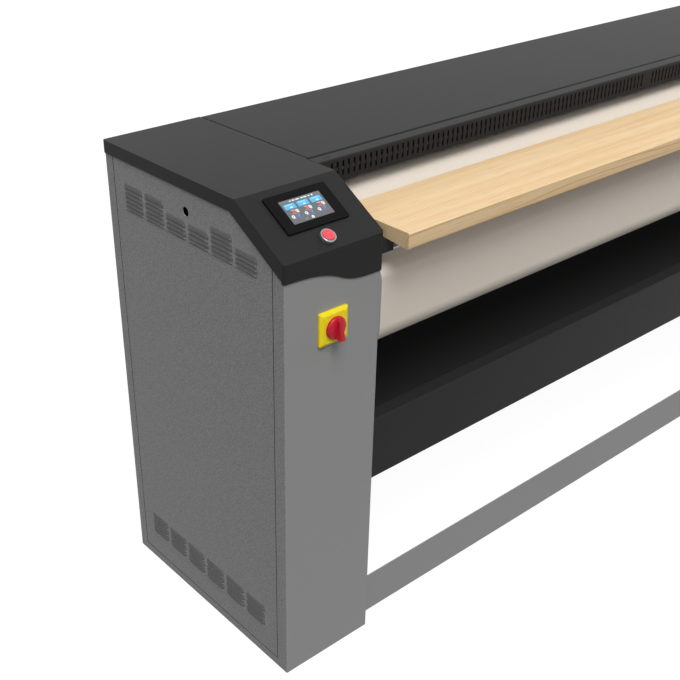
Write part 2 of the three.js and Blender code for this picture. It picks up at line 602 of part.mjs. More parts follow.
const discInnerX = cylinder.endX + cylinder.discThickness;
const farEnd = (x) => machineLength - x;
const cylinderProfile = [
  [discInnerX - trunnion.pilotDepth, 0], [discInnerX - trunnion.pilotDepth, trunnion.pilotRadius + fitGap],
  [discInnerX, trunnion.pilotRadius + fitGap], [discInnerX, cylinder.radius - cylinder.wall],
  [farEnd(discInnerX), cylinder.radius - cylinder.wall], [farEnd(discInnerX), trunnion.boreRadius],
  [farEnd(trunnion.endX), trunnion.boreRadius], [farEnd(trunnion.endX), trunnion.radius],
  [farEnd(cylinder.endX), trunnion.radius], [farEnd(cylinder.endX), cylinder.radius],
  [cylinder.endX, cylinder.radius], [cylinder.endX, trunnion.radius],
  [trunnion.endX, trunnion.radius], [trunnion.endX, 0],
];
add('heated_cylinder', turnedAboutX(cylinderProfile, cylinder.y, cylinder.z, facets.cylinder), steel());

const shaftEndX = workZoneX + roller.shaftGap;
function beltRoller(wheel) {
  const profile = [[shaftEndX, 0], [shaftEndX, roller.shaftRadius], [roller.endX, roller.shaftRadius],
    [roller.endX, wheel.radius], [farEnd(roller.endX), wheel.radius],
    [farEnd(roller.endX), roller.shaftRadius], [farEnd(shaftEndX), roller.shaftRadius],
    [farEnd(shaftEndX), 0]];
  return turnedAboutX(profile, wheel.y, wheel.z, facets.large);
}
add('nose_roller', beltRoller(noseRoller), steel());
add('nip_roller', beltRoller(nipRoller), steel());
add('rear_upper_roller', beltRoller(rearUpperRoller), steel());
add('rear_lower_roller', beltRoller(rearLowerRoller), steel());
add('front_return_roller', beltRoller(frontReturnRoller), steel());

// The end plate follows the rollers' outline and carries their shafts.
const plateWheels = [noseRoller, nipRoller, rearUpperRoller, rearLowerRoller, frontReturnRoller];
const plateOutline = beltLoop(plateWheels, belt.thickness + endPlate.margin, belt.thickness,
  endPlate.arcStep);
const plateEndX = workZoneX + endPlate.thickness;
const plateBores = plateWheels.map((wheel) => (
  boreAlongX(wheel.y, wheel.z, roller.shaftRadius + fitGap, 0, middleX, facets.small)));
plateBores.push(boreAlongX(cylinder.y, cylinder.z, trunnion.radius + endPlate.boreClear, 0, middleX));
const endPlateBody = alongX(plateOutline, workZoneX, plateEndX).subtract(wasm.Manifold.union(plateBores));
add('end_plate_left', endPlateBody, greyPaint());
add('end_plate_right', mirrored(endPlateBody), greyPaint());

const bearingFlangeX = insideWallX - bearing.flangeThickness;
const half = bearing.flange / 2;
const flangeOutline = filleted(rectangle(cylinder.y - half, cylinder.y + half,
  cylinder.z - half, cylinder.z + half), bearing.cornerRadius, true);
const bearingFlange = alongX(flangeOutline, bearingFlangeX, insideWallX);
const bearingBoss = rodAlongX(cylinder.y, cylinder.z, bearing.bossRadius,
  bearingFlangeX - bearing.bossLength, insideWallX - cutPast, facets.large);
const bearingBore = boreAlongX(cylinder.y, cylinder.z, trunnion.radius + fitGap, 0, middleX);
const bearingBody = bearingFlange.add(bearingBoss).subtract(bearingBore);
add('cylinder_bearing_left', bearingBody, castIron());
add('cylinder_bearing_right', mirrored(bearingBody), castIron());

// ---- drive in the left cabinet ----
const pulleyEndX = pulley.x + pulley.width;
function beltPulley(y, z, radius, shaftRadius) {
  const bore = (shaftRadius + fitGap) / Math.cos(Math.PI / facets.large);
  const rimRadius = radius + pulley.rimProud;
  const profile = [[pulley.x, bore], [pulley.x, rimRadius], [pulley.x + pulley.rim, rimRadius],
    [pulley.x + pulley.rim, radius], [pulleyEndX - pulley.rim, radius], [pulleyEndX - pulley.rim, rimRadius],
    [pulleyEndX, rimRadius], [pulleyEndX, bore], [pulley.x, bore]];
  return turnedAboutX(profile, y, z, facets.large);
}
const largePulley = beltPulley(cylinder.y, cylinder.z, pulley.cylinderRadius, trunnion.radius);
const smallPulley = beltPulley(crank.y, crank.z, pulley.motorRadius, driveShaft.radius);
add('cylinder_pulley', largePulley, castIron());
add('motor_pulley', smallPulley, castIron());

const driveWheels = [{ y: crank.y, z: crank.z, radius: pulley.motorRadius, inside: true },
  { y: cylinder.y, z: cylinder.z, radius: pulley.cylinderRadius, inside: true }];
const driveBeltX = pulley.x + pulley.rim + driveBelt.sideGap;
const driveBeltOuter = alongX(beltLoop(driveWheels, driveBelt.thickness, driveBelt.thickness),
  driveBeltX, pulleyEndX - pulley.rim - driveBelt.sideGap);
const driveBeltInner = alongX(beltLoop(driveWheels, 0, driveBelt.thickness), 0, middleX);
add('drive_belt', driveBeltOuter.subtract(driveBeltInner), finish('#1d1d1f', 0.8, 0));

const stubEndX = crank.endX + crank.stubLength;
const shaftRod = rodAlongX(crank.y, crank.z, driveShaft.radius, stubEndX, pulleyEndX + driveShaft.endProud);
const crankHex = rodAlongX(crank.y, crank.z, crank.stubRadius, crank.endX, stubEndX + cutPast, 6);
add('drive_shaft', shaftRod.add(crankHex), steel());

const gearboxEndX = gearbox.x + gearbox.width;
const gearboxOutline = filleted(rectangle(crank.y - gearbox.halfSize, crank.y + gearbox.halfSize,
  crank.z - gearbox.halfSize, crank.z + gearbox.halfSize), gearbox.cornerRadius, true);
const gearboxBlock = alongX(gearboxOutline, gearbox.x, gearboxEndX);
const motorX = (gearbox.x + gearboxEndX) / 2;
const motorRearY = crank.y + gearbox.halfSize + gearbox.motorLength;
const motorBarrel = rodAlongY(motorX, crank.z, gearbox.motorRadius, crank.y, motorRearY, facets.large);
const fanCowl = rodAlongY(motorX, crank.z, gearbox.motorRadius + gearbox.cowlProud,
  motorRearY - gearbox.cowlLength, motorRearY, facets.large);
const shaftBore = boreAlongX(crank.y, crank.z, driveShaft.radius + fitGap, 0, middleX);
const gearMotor = gearboxBlock.add(motorBarrel).add(fanCowl).subtract(shaftBore);
add('gear_motor', gearMotor, finish('#4a5a68', 0.5, 0.4));

// Bracket that hangs a unit from the inner wall: a plate, a shelf above it and a leg on the wall.
function hangerBracket(plateX, lowZ, shelfZ, legEndZ, middleY, halfWidth) {
  const centre = plateX + hanger.thickness / 2;
  const legX = insideWallX - hanger.thickness / 2;
  const path = [[centre, lowZ], [centre, shelfZ], [legX, shelfZ], [legX, legEndZ]];
  const section = bentSheet(path, hanger.thickness, hanger.bendRadius);
  return alongY(section, middleY - halfWidth, middleY + halfWidth);
}
const motorShelfZ = crank.z + gearbox.halfSize + hanger.thickness / 2;
const motorHanger = hangerBracket(gearboxEndX + fitGap, crank.z - gearbox.halfSize, motorShelfZ,
  motorShelfZ - hanger.legLength, crank.y, gearbox.halfSize);
const hangerHole = boreAlongX(crank.y, crank.z, driveShaft.radius + hanger.holeClear,
  0, gearboxEndX + fitGap + hanger.thickness + cutPast);
add('motor_bracket', motorHanger.subtract(hangerHole), galvanised());

// ---- controls ----
const bezel = onConsole(filleted(panelFrame, touchPanel.radius, true), fitGap, touchPanel.proud);
const panelRear = onConsole(panelBody, -touchPanel.bodyDepth, fitGap + cutPast);
const screenFloor = touchPanel.proud - touchPanel.recess;
const recess = onConsole(offsetPath(screenOutline, -fitGap, true), screenFloor, touchPanel.proud + cutPast);
add('touch_panel', bezel.add(panelRear).subtract(recess), blackPlastic());
const screenLow = screenFloor + fitGap;
add('touch_screen', onConsole(screenOutline, screenLow, screenLow + touchPanel.screenThickness),
  finish('#8fa6b8', 0.2, 0));

const wellFloor = stopButton.capLow - stopButton.wellClear;
const stemWell = stopButton.stemRadius + fitGap;
const bodyFloor = stopButton.wall - stopButton.bodyDepth;
const buttonBody = turnedOnConsole([[0, -stopButton.bodyDepth],
  [stopButton.neckRadius, -stopButton.bodyDepth],
  [stopButton.neckRadius, fitGap], [stopButton.ringRadius, fitGap],
  [stopButton.ringRadius, stopButton.ringProud - stopButton.ringBevel],
  [stopButton.ringRadius - stopButton.ringBevel, stopButton.ringProud],
  [stopButton.wellRadius, stopButton.ringProud], [stopButton.wellRadius, wellFloor],
  [stemWell, wellFloor], [stemWell, bodyFloor], [0, bodyFloor]], facets.large);
add('stop_button_body', buttonBody, finish('#c9cbcd', 0.25, 0.9));
const stemEnd = stopButton.capLow - stopButton.stemLength;
const buttonCap = turnedOnConsole([[0, stemEnd], [stopButton.stemRadius, stemEnd],
  [stopButton.stemRadius, stopButton.capLow], [stopButton.capRadius, stopButton.capLow],
  [stopButton.capRadius, stopButton.capProud - stopButton.capBevel],
  [stopButton.capRadius - stopButton.capBevel, stopButton.capProud], [0, stopButton.capProud]], facets.large);
add('stop_button_cap', buttonCap, finish('#d8303c', 0.4, 0));

const casingFrontY = shellInset;
const plateRearY = casingFrontY - fitGap;
const plateFrontY = plateRearY - mainSwitch.plateThickness;
const plateOutlineAt = (inset) => {
  const reach = mainSwitch.plate / 2 - inset;
  const outline = rectangle(mainSwitch.x - reach, mainSwitch.x + reach,
    mainSwitch.z - reach, mainSwitch.z + reach);
  return filleted(outline, mainSwitch.plateRadius, true);
};
const knobRearY = plateFrontY - fitGap;
const stemEndY = knobRearY + mainSwitch.stemLength;
const stemBoreRadius = (mainSwitch.stemRadius + fitGap) / Math.cos(Math.PI / facets.small);
const switchBore = rodAlongY(mainSwitch.x, mainSwitch.z, stemBoreRadius,
  plateFrontY - cutPast, stemEndY + mainSwitch.stemClear);
const switchPlate = alongY(plateOutlineAt(0), plateFrontY + mainSwitch.bevel, plateRearY)
  .add(alongY(plateOutlineAt(mainSwitch.bevel), plateFrontY, plateRearY));
add('switch_plate', switchPlate.subtract(switchBore), finish('#e9c52c', 0.45, 0));

const knobFaceY = knobRearY - mainSwitch.knobBase;
const gripFrontY = knobRearY - mainSwitch.gripProud;
const grip = box(mainSwitch.x - mainSwitch.gripWidth / 2, mainSwitch.x + mainSwitch.gripWidth / 2,
  gripFrontY, knobFaceY + cutPast,
  mainSwitch.z - mainSwitch.knobRadius, mainSwitch.z + mainSwitch.knobRadius);
function knobRound(fromY, toY) {
  return rodAlongY(mainSwitch.x, mainSwitch.z, mainSwitch.knobRadius, fromY, toY, facets.large);
}
const roundGrip = grip.intersect(knobRound(gripFrontY - cutPast, knobRearY));
const knobStem = rodAlongY(mainSwitch.x, mainSwitch.z, mainSwitch.stemRadius, knobFaceY + cutPast, stemEndY);
const knobBody = knobRound(knobFaceY, knobRearY).add(roundGrip).add(knobStem);
add('switch_knob', knobBody, finish('#c4202c', 0.4, 0));

const bodyFrontY = casingFrontY + sheet + fitGap;
const switchHalf = mainSwitch.body / 2;
const switchBlock = box(mainSwitch.x - switchHalf, mainSwitch.x + switchHalf, bodyFrontY,
  bodyFrontY + mainSwitch.bodyDepth, mainSwitch.z - switchHalf, mainSwitch.z + switchHalf);
add('switch_body', switchBlock.subtract(switchBore), blackPlastic());

const controlPlateX = insideWallX - controlPlate.thickness;
const mountingPlate = box(controlPlateX, insideWallX, controlPlate.y, controlPlate.y + controlPlate.depth,
  controlPlate.z, controlPlate.z + controlPlate.height);
add('control_plate', mountingPlate, galvanised());
const deviceX = controlPlateX - fitGap;
const deviceLength = contactors.sizes.reduce((sum, [width]) => sum + width + contactors.gap, contactors.gap);
const railFrontY = controlPlate.y + contactors.fromFront;
const railLowZ = controlPlate.z + contactors.fromBottom;
const middleZ = railLowZ + contactors.railHeight / 2;
let deviceRow = box(deviceX - contactors.railDepth, deviceX, railFrontY, railFrontY + deviceLength,
  railLowZ, railLowZ + contactors.railHeight);
let deviceY = railFrontY + contactors.gap;
for (const [width, depth] of contactors.sizes) {
  deviceRow = deviceRow.add(box(deviceX - depth, deviceX - contactors.railDepth / 2, deviceY, deviceY + width,
    middleZ - contactors.height / 2, middleZ + contactors.height / 2));
  deviceY += width + contactors.gap;
}
add('contactor_row', deviceRow, blackPlastic());

// ---- tray, cross bars and rear panel ----
const rearPanelFrontY = casingRearY - sheet;
const trayFaceY = tray.frontY + sheet / 2;
const trayLipY = rearPanelFrontY - fitGap - sheet / 2;
const trayLowZ = machineHeight - tray.bottomDrop + sheet / 2;
const trayRimZ = machineHeight - tray.rimDrop - sheet / 2;
const slideTopZ = machineHeight - tray.slideTopDrop;
const trayPath = [[tray.frontY + tray.returnLip, trayLowZ], [trayFaceY, trayLowZ],
  [trayFaceY, trayRimZ], [tray.frontY + tray.rimDepth, trayRimZ],
  [tray.footY, machineHeight - tray.footDrop], [tray.floorY, machineHeight - tray.floorDrop],
  [rearPanelFrontY - tray.slideSetback, slideTopZ], [trayLipY, slideTopZ + tray.slideRise],
  [trayLipY, machineHeight - tray.lipDrop]];
const traySheet = bentSheet(trayPath, sheet, tray.bendRadius);
add('linen_tray', alongX(traySheet, workZoneX, farEnd(workZoneX)), blackPaint());

const crossbarRearY = cabinet.depth - crossbar.toRear;

// Angle with its upright face at one y and the edge of its foot at another.
function angleBar(faceY, edgeY) {
  const offset = crossbar.thickness / 2;
  const webY = faceY + Math.sign(edgeY - faceY) * offset;
  const low = crossbar.bottomZ + offset;
  const path = [[edgeY, low], [webY, low], [webY, crossbar.bottomZ + crossbar.height]];
  return bentSheet(path, crossbar.thickness, crossbar.bendRadius);
}
const frontAngle = angleBar(crossbar.frontY, crossbar.frontY + crossbar.depth);
const rearAngle = angleBar(crossbarRearY, crossbarRearY - crossbar.depth);
add('front_crossbar', alongX(frontAngle, workZoneX, farEnd(workZoneX)), greyPaint());
add('rear_crossbar', alongX(rearAngle, workZoneX, farEnd(workZoneX)), greyPaint());

const rearLineY = rearPanelFrontY + sheet / 2;
const rearTopZ = machineHeight - skirt.depth - fitGap;
const rearLowZ = machineHeight - rearPanel.bottomDrop + sheet / 2;
const rearPath = [[rearLineY - rearPanel.flange, rearLowZ], [rearLineY, rearLowZ], [rearLineY, rearTopZ]];
add('rear_panel', alongX(bentSheet(rearPath, sheet, sheetBend), workZoneX, farEnd(workZoneX)), greyPaint());

// ---- heater in the cylinder ----
const rodFarX = farEnd(heater.firstX);
const pilotX = discInnerX - trunnion.pilotDepth + fitGap;
const heaterOutX = farEnd(heaterBox.x + heaterBox.width + fitGap);
let heaterCore = rodAlongX(cylinder.y, cylinder.z, heater.tubeRadius, heater.innerEndX, heaterOutX)
  .add(rodAlongX(cylinder.y, cylinder.z, trunnion.pilotRadius, pilotX, heater.innerEndX + cutPast));
const spiderSpan = rodFarX - heater.firstX - heater.spiderThickness;
for (let i = 0; i < heater.spiderCount; i += 1) {
  const x = heater.firstX + (spiderSpan * i) / (heater.spiderCount - 1);
  const spider = rodAlongX(cylinder.y, cylinder.z, heater.spiderRadius, x, x + heater.spiderThickness);
  heaterCore = heaterCore.add(spider);
}
for (let i = 0; i < heater.rodCount; i += 1) {
  const angle = (fullTurn * i) / heater.rodCount;
  heaterCore = heaterCore.add(rodAlongX(cylinder.y + heater.rodCircle * Math.cos(angle),
    cylinder.z + heater.rodCircle * Math.sin(angle), heater.rodRadius, heater.firstX, rodFarX, 6));
}
add('heater_core', heaterCore, steel());

const heaterPlateX = heaterBox.x + heaterBox.width + fitGap;
const heaterShelfZ = cylinder.z + heaterBox.halfSize + heaterBox.shelfClear;
const heaterHanger = hangerBracket(heaterPlateX, cylinder.z - half, heaterShelfZ,
  heaterShelfZ + hanger.legLength, cylinder.y, half);
const heaterHole = boreAlongX(cylinder.y, cylinder.z, heater.tubeRadius + fitGap,
  0, heaterPlateX + hanger.thickness + cutPast);
add('heater_bracket', mirrored(heaterHanger.subtract(heaterHole)), galvanised());
const terminalBox = box(heaterBox.x, heaterBox.x + heaterBox.width,
  cylinder.y - heaterBox.halfSize, cylinder.y + heaterBox.halfSize,
  cylinder.z - heaterBox.halfSize, cylinder.z + heaterBox.halfSize);
add('heater_terminal_box', mirrored(terminalBox), blackPlastic());

// ---- exhaust fan in the right cabinet ----
const fanEndY = rearPanelFrontY - fitGap;
// Spiral outline of the fan housing, drawn in by a distance and open to the rear.
function scroll(inset, endY) {
  const points = [];
  const sweep = 270 - fan.tongueAngle;
  for (let k = 0; k <= facets.scroll; k += 1) {
    const part = k / facets.scroll;
    const angle = THREE.MathUtils.degToRad(fan.tongueAngle + sweep * part);
    const radius = fan.tongueRadius + (fan.scrollRadius - fan.tongueRadius) * part - inset;
    points.push([fan.y + radius * Math.cos(angle), fan.z + radius * Math.sin(angle)]);
  }
  const lowZ = points[points.length - 1][1];
  return [...points, [endY, lowZ], [endY, points[0][1]]];
}
const fanCase = alongX(scroll(0, fanEndY), fanX, insideWallX)
  .subtract(alongX(scroll(sheet, fanEndY + cutPast), fanX + sheet, insideWallX - sheet))
  .subtract(rodAlongX(fan.y, fan.z, fan.inletRadius,
    insideWallX - sheet - cutPast, insideWallX + cutPast, facets.large))
  .subtract(rodAlongX(fan.y, fan.z, fan.hubRadius + fan.hubClear, fanX - cutPast, fanX + sheet + cutPast));
add('fan_housing', mirrored(fanCase), galvanised());

const discX = fanX + sheet + fan.discClear;
const bladeX = discX + sheet / 2;
const bladeEndX = insideWallX - sheet - fan.inletClear;
const motorFaceX = fanX - fitGap;
let impeller = rodAlongX(fan.y, fan.z, fan.impellerRadius, discX, discX + sheet, facets.large)
  .add(rodAlongX(fan.y, fan.z, fan.hubRadius, discX, discX + fan.hubLength))
  .add(rodAlongX(fan.y, fan.z, fan.shaftRadius, motorFaceX - fan.shaftLength, discX + cutPast));
for (let i = 0; i < fan.bladeCount; i += 1) {
  const blade = new THREE.BoxGeometry(bladeEndX - bladeX, fan.bladeDepth, sheet);
  blade.rotateX(fan.bladeTilt);
  blade.translate((bladeEndX + bladeX) / 2, fan.impellerRadius - fan.bladeDepth / 2 - fan.bladeInset, 0);
  blade.rotateX((fullTurn * i) / fan.bladeCount);
  blade.translate(0, fan.y, fan.z);
  impeller = impeller.add(solid(blade));
}
add('fan_impeller', mirrored(impeller), galvanised());

const fanMotor = rodAlongX(fan.y, fan.z, fan.motorRadius,
  motorFaceX - fan.motorLength, motorFaceX, facets.large)
  .subtract(boreAlongX(fan.y, fan.z, fan.shaftRadius + fitGap,
    motorFaceX - fan.shaftLength - fitGap, motorFaceX + cutPast));
add('fan_motor', mirrored(fanMotor), finish('#4a5a68', 0.5, 0.4));

const flangeY = casingRearY + fitGap;
const flangeHalf = spigot.flange / 2;
const spigotPlate = filleted(rectangle(spigotX - flangeHalf, spigotX + flangeHalf,
  spigotZ - flangeHalf, spigotZ + flangeHalf), spigot.cornerRadius, true);
const spigotFlange = alongY(spigotPlate, flangeY, flangeY + spigot.flangeThickness);
const rearEndY = flangeY + spigot.flangeThickness + spigot.length;
const spigotTube = rodAlongY(spigotX, spigotZ, spigot.radius, flangeY, rearEndY, facets.large);
const spigotBore = rodAlongY(spigotX, spigotZ, spigot.radius - spigot.wall,
  flangeY - cutPast, rearEndY + cutPast, facets.large);
add('exhaust_spigot', mirrored(spigotFlange.add(spigotTube).subtract(spigotBore)), galvanised());

// The origin is at floor level under the middle of the whole machine.
machine.position.set(-middleX, -(board.frontY + rearEndY) / 2, 0);
const ironer = new THREE.Group();
ironer.add(machine);

export default ironer;
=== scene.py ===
import json

import bpy
import numpy as np
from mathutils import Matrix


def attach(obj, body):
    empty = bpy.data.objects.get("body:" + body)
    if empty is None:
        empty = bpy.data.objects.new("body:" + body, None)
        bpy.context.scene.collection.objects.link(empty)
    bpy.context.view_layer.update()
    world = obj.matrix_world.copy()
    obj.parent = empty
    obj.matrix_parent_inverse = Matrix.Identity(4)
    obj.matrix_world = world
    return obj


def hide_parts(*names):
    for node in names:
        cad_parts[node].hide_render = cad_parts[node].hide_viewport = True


# A flatwork ironer: finishes and finer pieces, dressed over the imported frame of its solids.
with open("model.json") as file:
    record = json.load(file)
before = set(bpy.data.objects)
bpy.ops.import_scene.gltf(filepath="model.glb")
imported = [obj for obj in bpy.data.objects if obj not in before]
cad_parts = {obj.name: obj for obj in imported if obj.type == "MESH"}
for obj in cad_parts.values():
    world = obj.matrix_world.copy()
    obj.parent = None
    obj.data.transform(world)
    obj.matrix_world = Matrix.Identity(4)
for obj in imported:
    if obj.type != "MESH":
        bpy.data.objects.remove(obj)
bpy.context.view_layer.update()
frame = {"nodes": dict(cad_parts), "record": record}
nodes = frame["nodes"]
scene = bpy.context.scene
print("frame loaded:", len(nodes), "nodes")

# Pieces are written in millimetres from the machine's left front corner on the floor.
machineCorner = np.array([-1.425, -0.30235, 0.0])


def fromCorner(points):
    # point = corner + millimetres / 1000
    return machineCorner + np.asarray(points, float) / 1000.0


def toLinear(hexColour):
    # c = s / 12.92 below 0.04045, else ((s + 0.055) / 1.055) ^ 2.4
    s = np.array([int(hexColour[i:i + 2], 16) for i in (1, 3, 5)]) / 255.0
    c = np.where(s <= 0.04045, s / 12.92, ((s + 0.055) / 1.055) ** 2.4)
    return (*c.tolist(), 1.0)


white = toLinear("#ffffff")

# The camera stands where the photograph was taken from.
photoView = {
    "place": (-2.5389, -1.66695, 1.8430),
    "turn": (59.67, 0.0, -40.10),
    "lens": 55.705,
    "shift": (0.0612, 0.0488),
}
lensData = bpy.data.cameras.new("photo_view")
lensData.lens = photoView["lens"]
lensData.sensor_width = 36.0
lensData.shift_x, lensData.shift_y = photoView["shift"]
lensData.clip_end = 60.0
viewer = bpy.data.objects.new("photo_view", lensData)
viewer.location = photoView["place"]
viewer.rotation_euler = np.radians(photoView["turn"]).tolist()
scene.collection.objects.link(viewer)
scene.camera = viewer
scene.view_settings.view_transform = "Standard"


def addNode(tree, kind, inputs=None, output=0, stops=(), **settings):
    # adds one node and gives one of its outputs; an input that is a socket is linked and any other is a
    # value, and stops are the (place, colour) pairs of a ramp
    node = tree.nodes.new("ShaderNode" + kind)
    for name, value in settings.items():
        setattr(node, name, value)
    for name, value in (inputs or {}).items():
        if isinstance(value, bpy.types.NodeSocket):
            tree.links.new(value, node.inputs[name])
        else:
            node.inputs[name].default_value = value
    if stops:
        elements = node.color_ramp.elements
        elements[0].position, elements[1].position = stops[0][0], stops[-1][0]
        for place, _ in stops[1:-1]:
            elements.new(place)
        for element, (_, colour) in zip(elements, stops):
            element.color = toLinear(colour)
    return node.outputs[output] if node.outputs else node


def newFinish(name, **sockets):
    # a material whose shader carries these values on its own sockets
    finish = bpy.data.materials.new(name)
    finish.use_nodes = True
    shader = finish.node_tree.nodes["Principled BSDF"]
    for socket, value in sockets.items():
        shader.inputs[socket.replace("_", " ")].default_value = value
    return finish, finish.node_tree


def patterned(finish, **sources):
    # the finish, once these patterns drive its shader's sockets
    shader = finish.node_tree.nodes["Principled BSDF"]
    for socket, source in sources.items():
        finish.node_tree.links.new(source, shader.inputs[socket.replace("_", " ")])
    return finish


# Studio: a sky that is dim near the floor, four softboxes and a pale floor that keeps the shadow.
# Camera, glossy and transmission rays see white instead of the sky.
studio = {
    "skyLow": 0.06, "skyHigh": 0.46, "lowAt": 0.1, "highAt": 0.75,
    "softboxes": {  # direction that the light comes from, strength, angle across
        "softbox_high": ((-0.20, -0.50, 0.85), 1.98, 30),
        "softbox_low": ((-0.60, -0.68, 0.30), 0.40, 12),
        "softbox_rear": ((0.05, 0.90, 0.42), 0.55, 40),
        "softbox_right": ((0.92, -0.10, 0.38), 0.45, 40),
    },
    "floorSide": 14.0, "floorColour": "#5c5c5c", "floorGlow": 0.95, "floorBounce": 0.03,
}


def seenBy(tree, kinds):
    # one for these kinds of ray, zero for any other
    seen = addNode(tree, "LightPath", output=kinds[0])
    for kind in kinds[1:]:
        other = addNode(tree, "LightPath", output=kind)
        seen = addNode(tree, "Math", {0: seen, 1: other}, operation="MAXIMUM")
    return seen


world = bpy.data.worlds.new("studio")
world.use_nodes = True
scene.world = world
skyTree = world.node_tree
skyTree.nodes.clear()
height = addNode(skyTree, "SeparateXYZ", {0: addNode(skyTree, "TexCoord", output="Generated")}, output="Z")
brightness = addNode(skyTree, "MapRange", {
    "Value": height, "From Min": studio["lowAt"], "From Max": studio["highAt"],
    "To Min": studio["skyLow"], "To Max": studio["skyHigh"]})
softSky = addNode(skyTree, "Background", {"Color": white, "Strength": brightness})
whiteSky = addNode(skyTree, "Background", {"Color": white, "Strength": 1.0})
seen = seenBy(skyTree, ("Is Camera Ray", "Is Glossy Ray", "Is Transmission Ray"))
sky = addNode(skyTree, "MixShader", {0: seen, 1: softSky, 2: whiteSky})
addNode(skyTree, "OutputWorld", {"Surface": sky})

for name, (toward, strength, angle) in studio["softboxes"].items():
    # turned so that its light comes from the given direction
    lamp = bpy.data.lights.new(name, "SUN")
    lamp.energy = strength
    lamp.angle = np.radians(angle)
    softbox = bpy.data.objects.new(name, lamp)
    toward = np.array(toward) / np.linalg.norm(toward)
    softbox.rotation_euler = (np.arccos(toward[2]), 0.0, np.arctan2(toward[0], -toward[1]))
    scene.collection.objects.link(softbox)

floorCorners = np.array([[-1, -1, 0], [1, -1, 0], [1, 1, 0], [-1, 1, 0]]) * studio["floorSide"]
floorMesh = bpy.data.meshes.new("floor")
floorMesh.from_pydata(floorCorners.tolist(), [], [(0, 1, 2, 3)])
floor = bpy.data.objects.new("floor", floorMesh)
scene.collection.objects.link(floor)
floorFinish = bpy.data.materials.new("pale_floor")
floorFinish.use_nodes = True
floorTree = floorFinish.node_tree
floorTree.nodes.clear()
glow = addNode(floorTree, "MapRange", {
    "Value": seenBy(floorTree, ("Is Camera Ray", "Is Glossy Ray")),
    "To Min": studio["floorBounce"], "To Max": studio["floorGlow"]})
matt = addNode(floorTree, "BsdfDiffuse", {"Color": toLinear(studio["floorColour"])})
shine = addNode(floorTree, "Emission", {"Color": white, "Strength": glow})
addNode(floorTree, "OutputMaterial", {"Surface": addNode(floorTree, "AddShader", {0: matt, 1: shine})})
floorMesh.materials.append(floorFinish)
print("studio set")


def mottled(name, perMetre, detail, dark, light, ends=(0.3, 0.7), relief=None, gloss=None, **sockets):
    # noise over Object coordinates, so many grains to the metre: its low values take the dark colour and
    # its high ones the light; it may stand out by relief (strength, metres) and drive the roughness
    finish, tree = newFinish(name, **sockets)
    place = addNode(tree, "TexCoord", output="Object")
    if isinstance(perMetre, tuple):
        place, perMetre = addNode(tree, "Mapping", {"Vector": place, "Scale": perMetre}), 1.0
    grain = addNode(tree, "TexNoise", {"Vector": place, "Scale": perMetre, "Detail": detail})
    stops = [(ends[0], dark), (ends[1], light)]
    sources = {"Base_Color": addNode(tree, "ValToRGB", {"Fac": grain}, stops=stops)}
    if relief:
        strength, depth = relief
        sources["Normal"] = addNode(tree, "Bump", {"Height": grain, "Strength": strength, "Distance": depth})
    if gloss:
        smooth, rough = gloss
        sources["Roughness"] = addNode(tree, "MapRange", {"Value": grain, "To Min": smooth, "To Max": rough})
    return patterned(finish, **sources)


# Polyester powder coat on the cabinets: smooth satin on faces to the front, coarse wrinkle on the
# sides. The wrinkle is 1 mm on the real sheet and is drawn at 3.5 mm so that it shows.
def powderCoatGrey():
    finish, tree = newFinish("wrinkle_powder_coat_grey", Roughness=0.55, Specular_IOR_Level=0.06)
    place = addNode(tree, "TexCoord", output="Object")
    place = addNode(tree, "Mapping", {"Vector": place, "Scale": (300, 230, 340)})
    facing = addNode(tree, "SeparateXYZ", {0: addNode(tree, "TexCoord", output="Normal")}, output="X")
    sideways = addNode(tree, "Math", {0: facing}, operation="ABSOLUTE")
    wrinkled = addNode(tree, "MapRange", {"Value": sideways, "From Min": 0.6, "From Max": 0.95},
                       interpolation_type="SMOOTHSTEP")
    grain = addNode(tree, "TexNoise", {"Vector": place, "Scale": 1.0, "Detail": 2.5, "Roughness": 0.65})
    fine = addNode(tree, "TexNoise", {"Vector": place, "Scale": 3.5, "Detail": 1.0})
    rough = addNode(tree, "ValToRGB", {"Fac": grain},
                    stops=[(0.33, "#8a8a8a"), (0.5, "#9c9c9c"), (0.67, "#aaaaaa")])
    smooth = addNode(tree, "ValToRGB", {"Fac": fine}, stops=[(0.3, "#9a9a9a"), (0.7, "#9f9f9f")])
    colour = addNode(tree, "Mix", {0: wrinkled, 6: smooth, 7: rough}, output=2, data_type="RGBA")
    strength = addNode(tree, "MapRange", {"Value": wrinkled, "To Min": 0.03, "To Max": 0.5})
    bump = addNode(tree, "Bump", {"Height": grain, "Strength": strength, "Distance": 0.0016})
    return patterned(finish, Base_Color=colour, Normal=bump)


# Satin black powder coat on covers, hood and tray: a faint orange peel of about 2 mm. Flush screws in the
# sheet show as near black discs, wherever the surface is nearer to a screw's place than its radius: their
# black heads with painted shade of the recess round them.
def powderCoatBlack(name, screwPlaces=(), screwRadius=0.0):
    finish, tree = newFinish(name, Roughness=0.45, Specular_IOR_Level=0.06)
    place = addNode(tree, "TexCoord", output="Object")
    peel = addNode(tree, "TexNoise", {"Vector": place, "Scale": 450.0, "Detail": 2.0})
    colour = addNode(tree, "ValToRGB", {"Fac": peel}, stops=[(0.3, "#2a2a2a"), (0.7, "#303030")])
    # the screw discs' near black is the heads' own black together with painted shade of their recesses
    dark = toLinear("#040404")
    for screw in screwPlaces:
        away = addNode(tree, "VectorMath", {0: place, 1: tuple(screw)}, output="Value", operation="DISTANCE")
        head = addNode(tree, "Math", {0: away, 1: screwRadius}, operation="LESS_THAN")
        colour = addNode(tree, "Mix", {0: head, 6: colour, 7: dark}, output=2, data_type="RGBA")
    bump = addNode(tree, "Bump", {"Height": peel, "Strength": 0.12, "Distance": 0.0006})
    return patterned(finish, Base_Color=colour, Normal=bump)
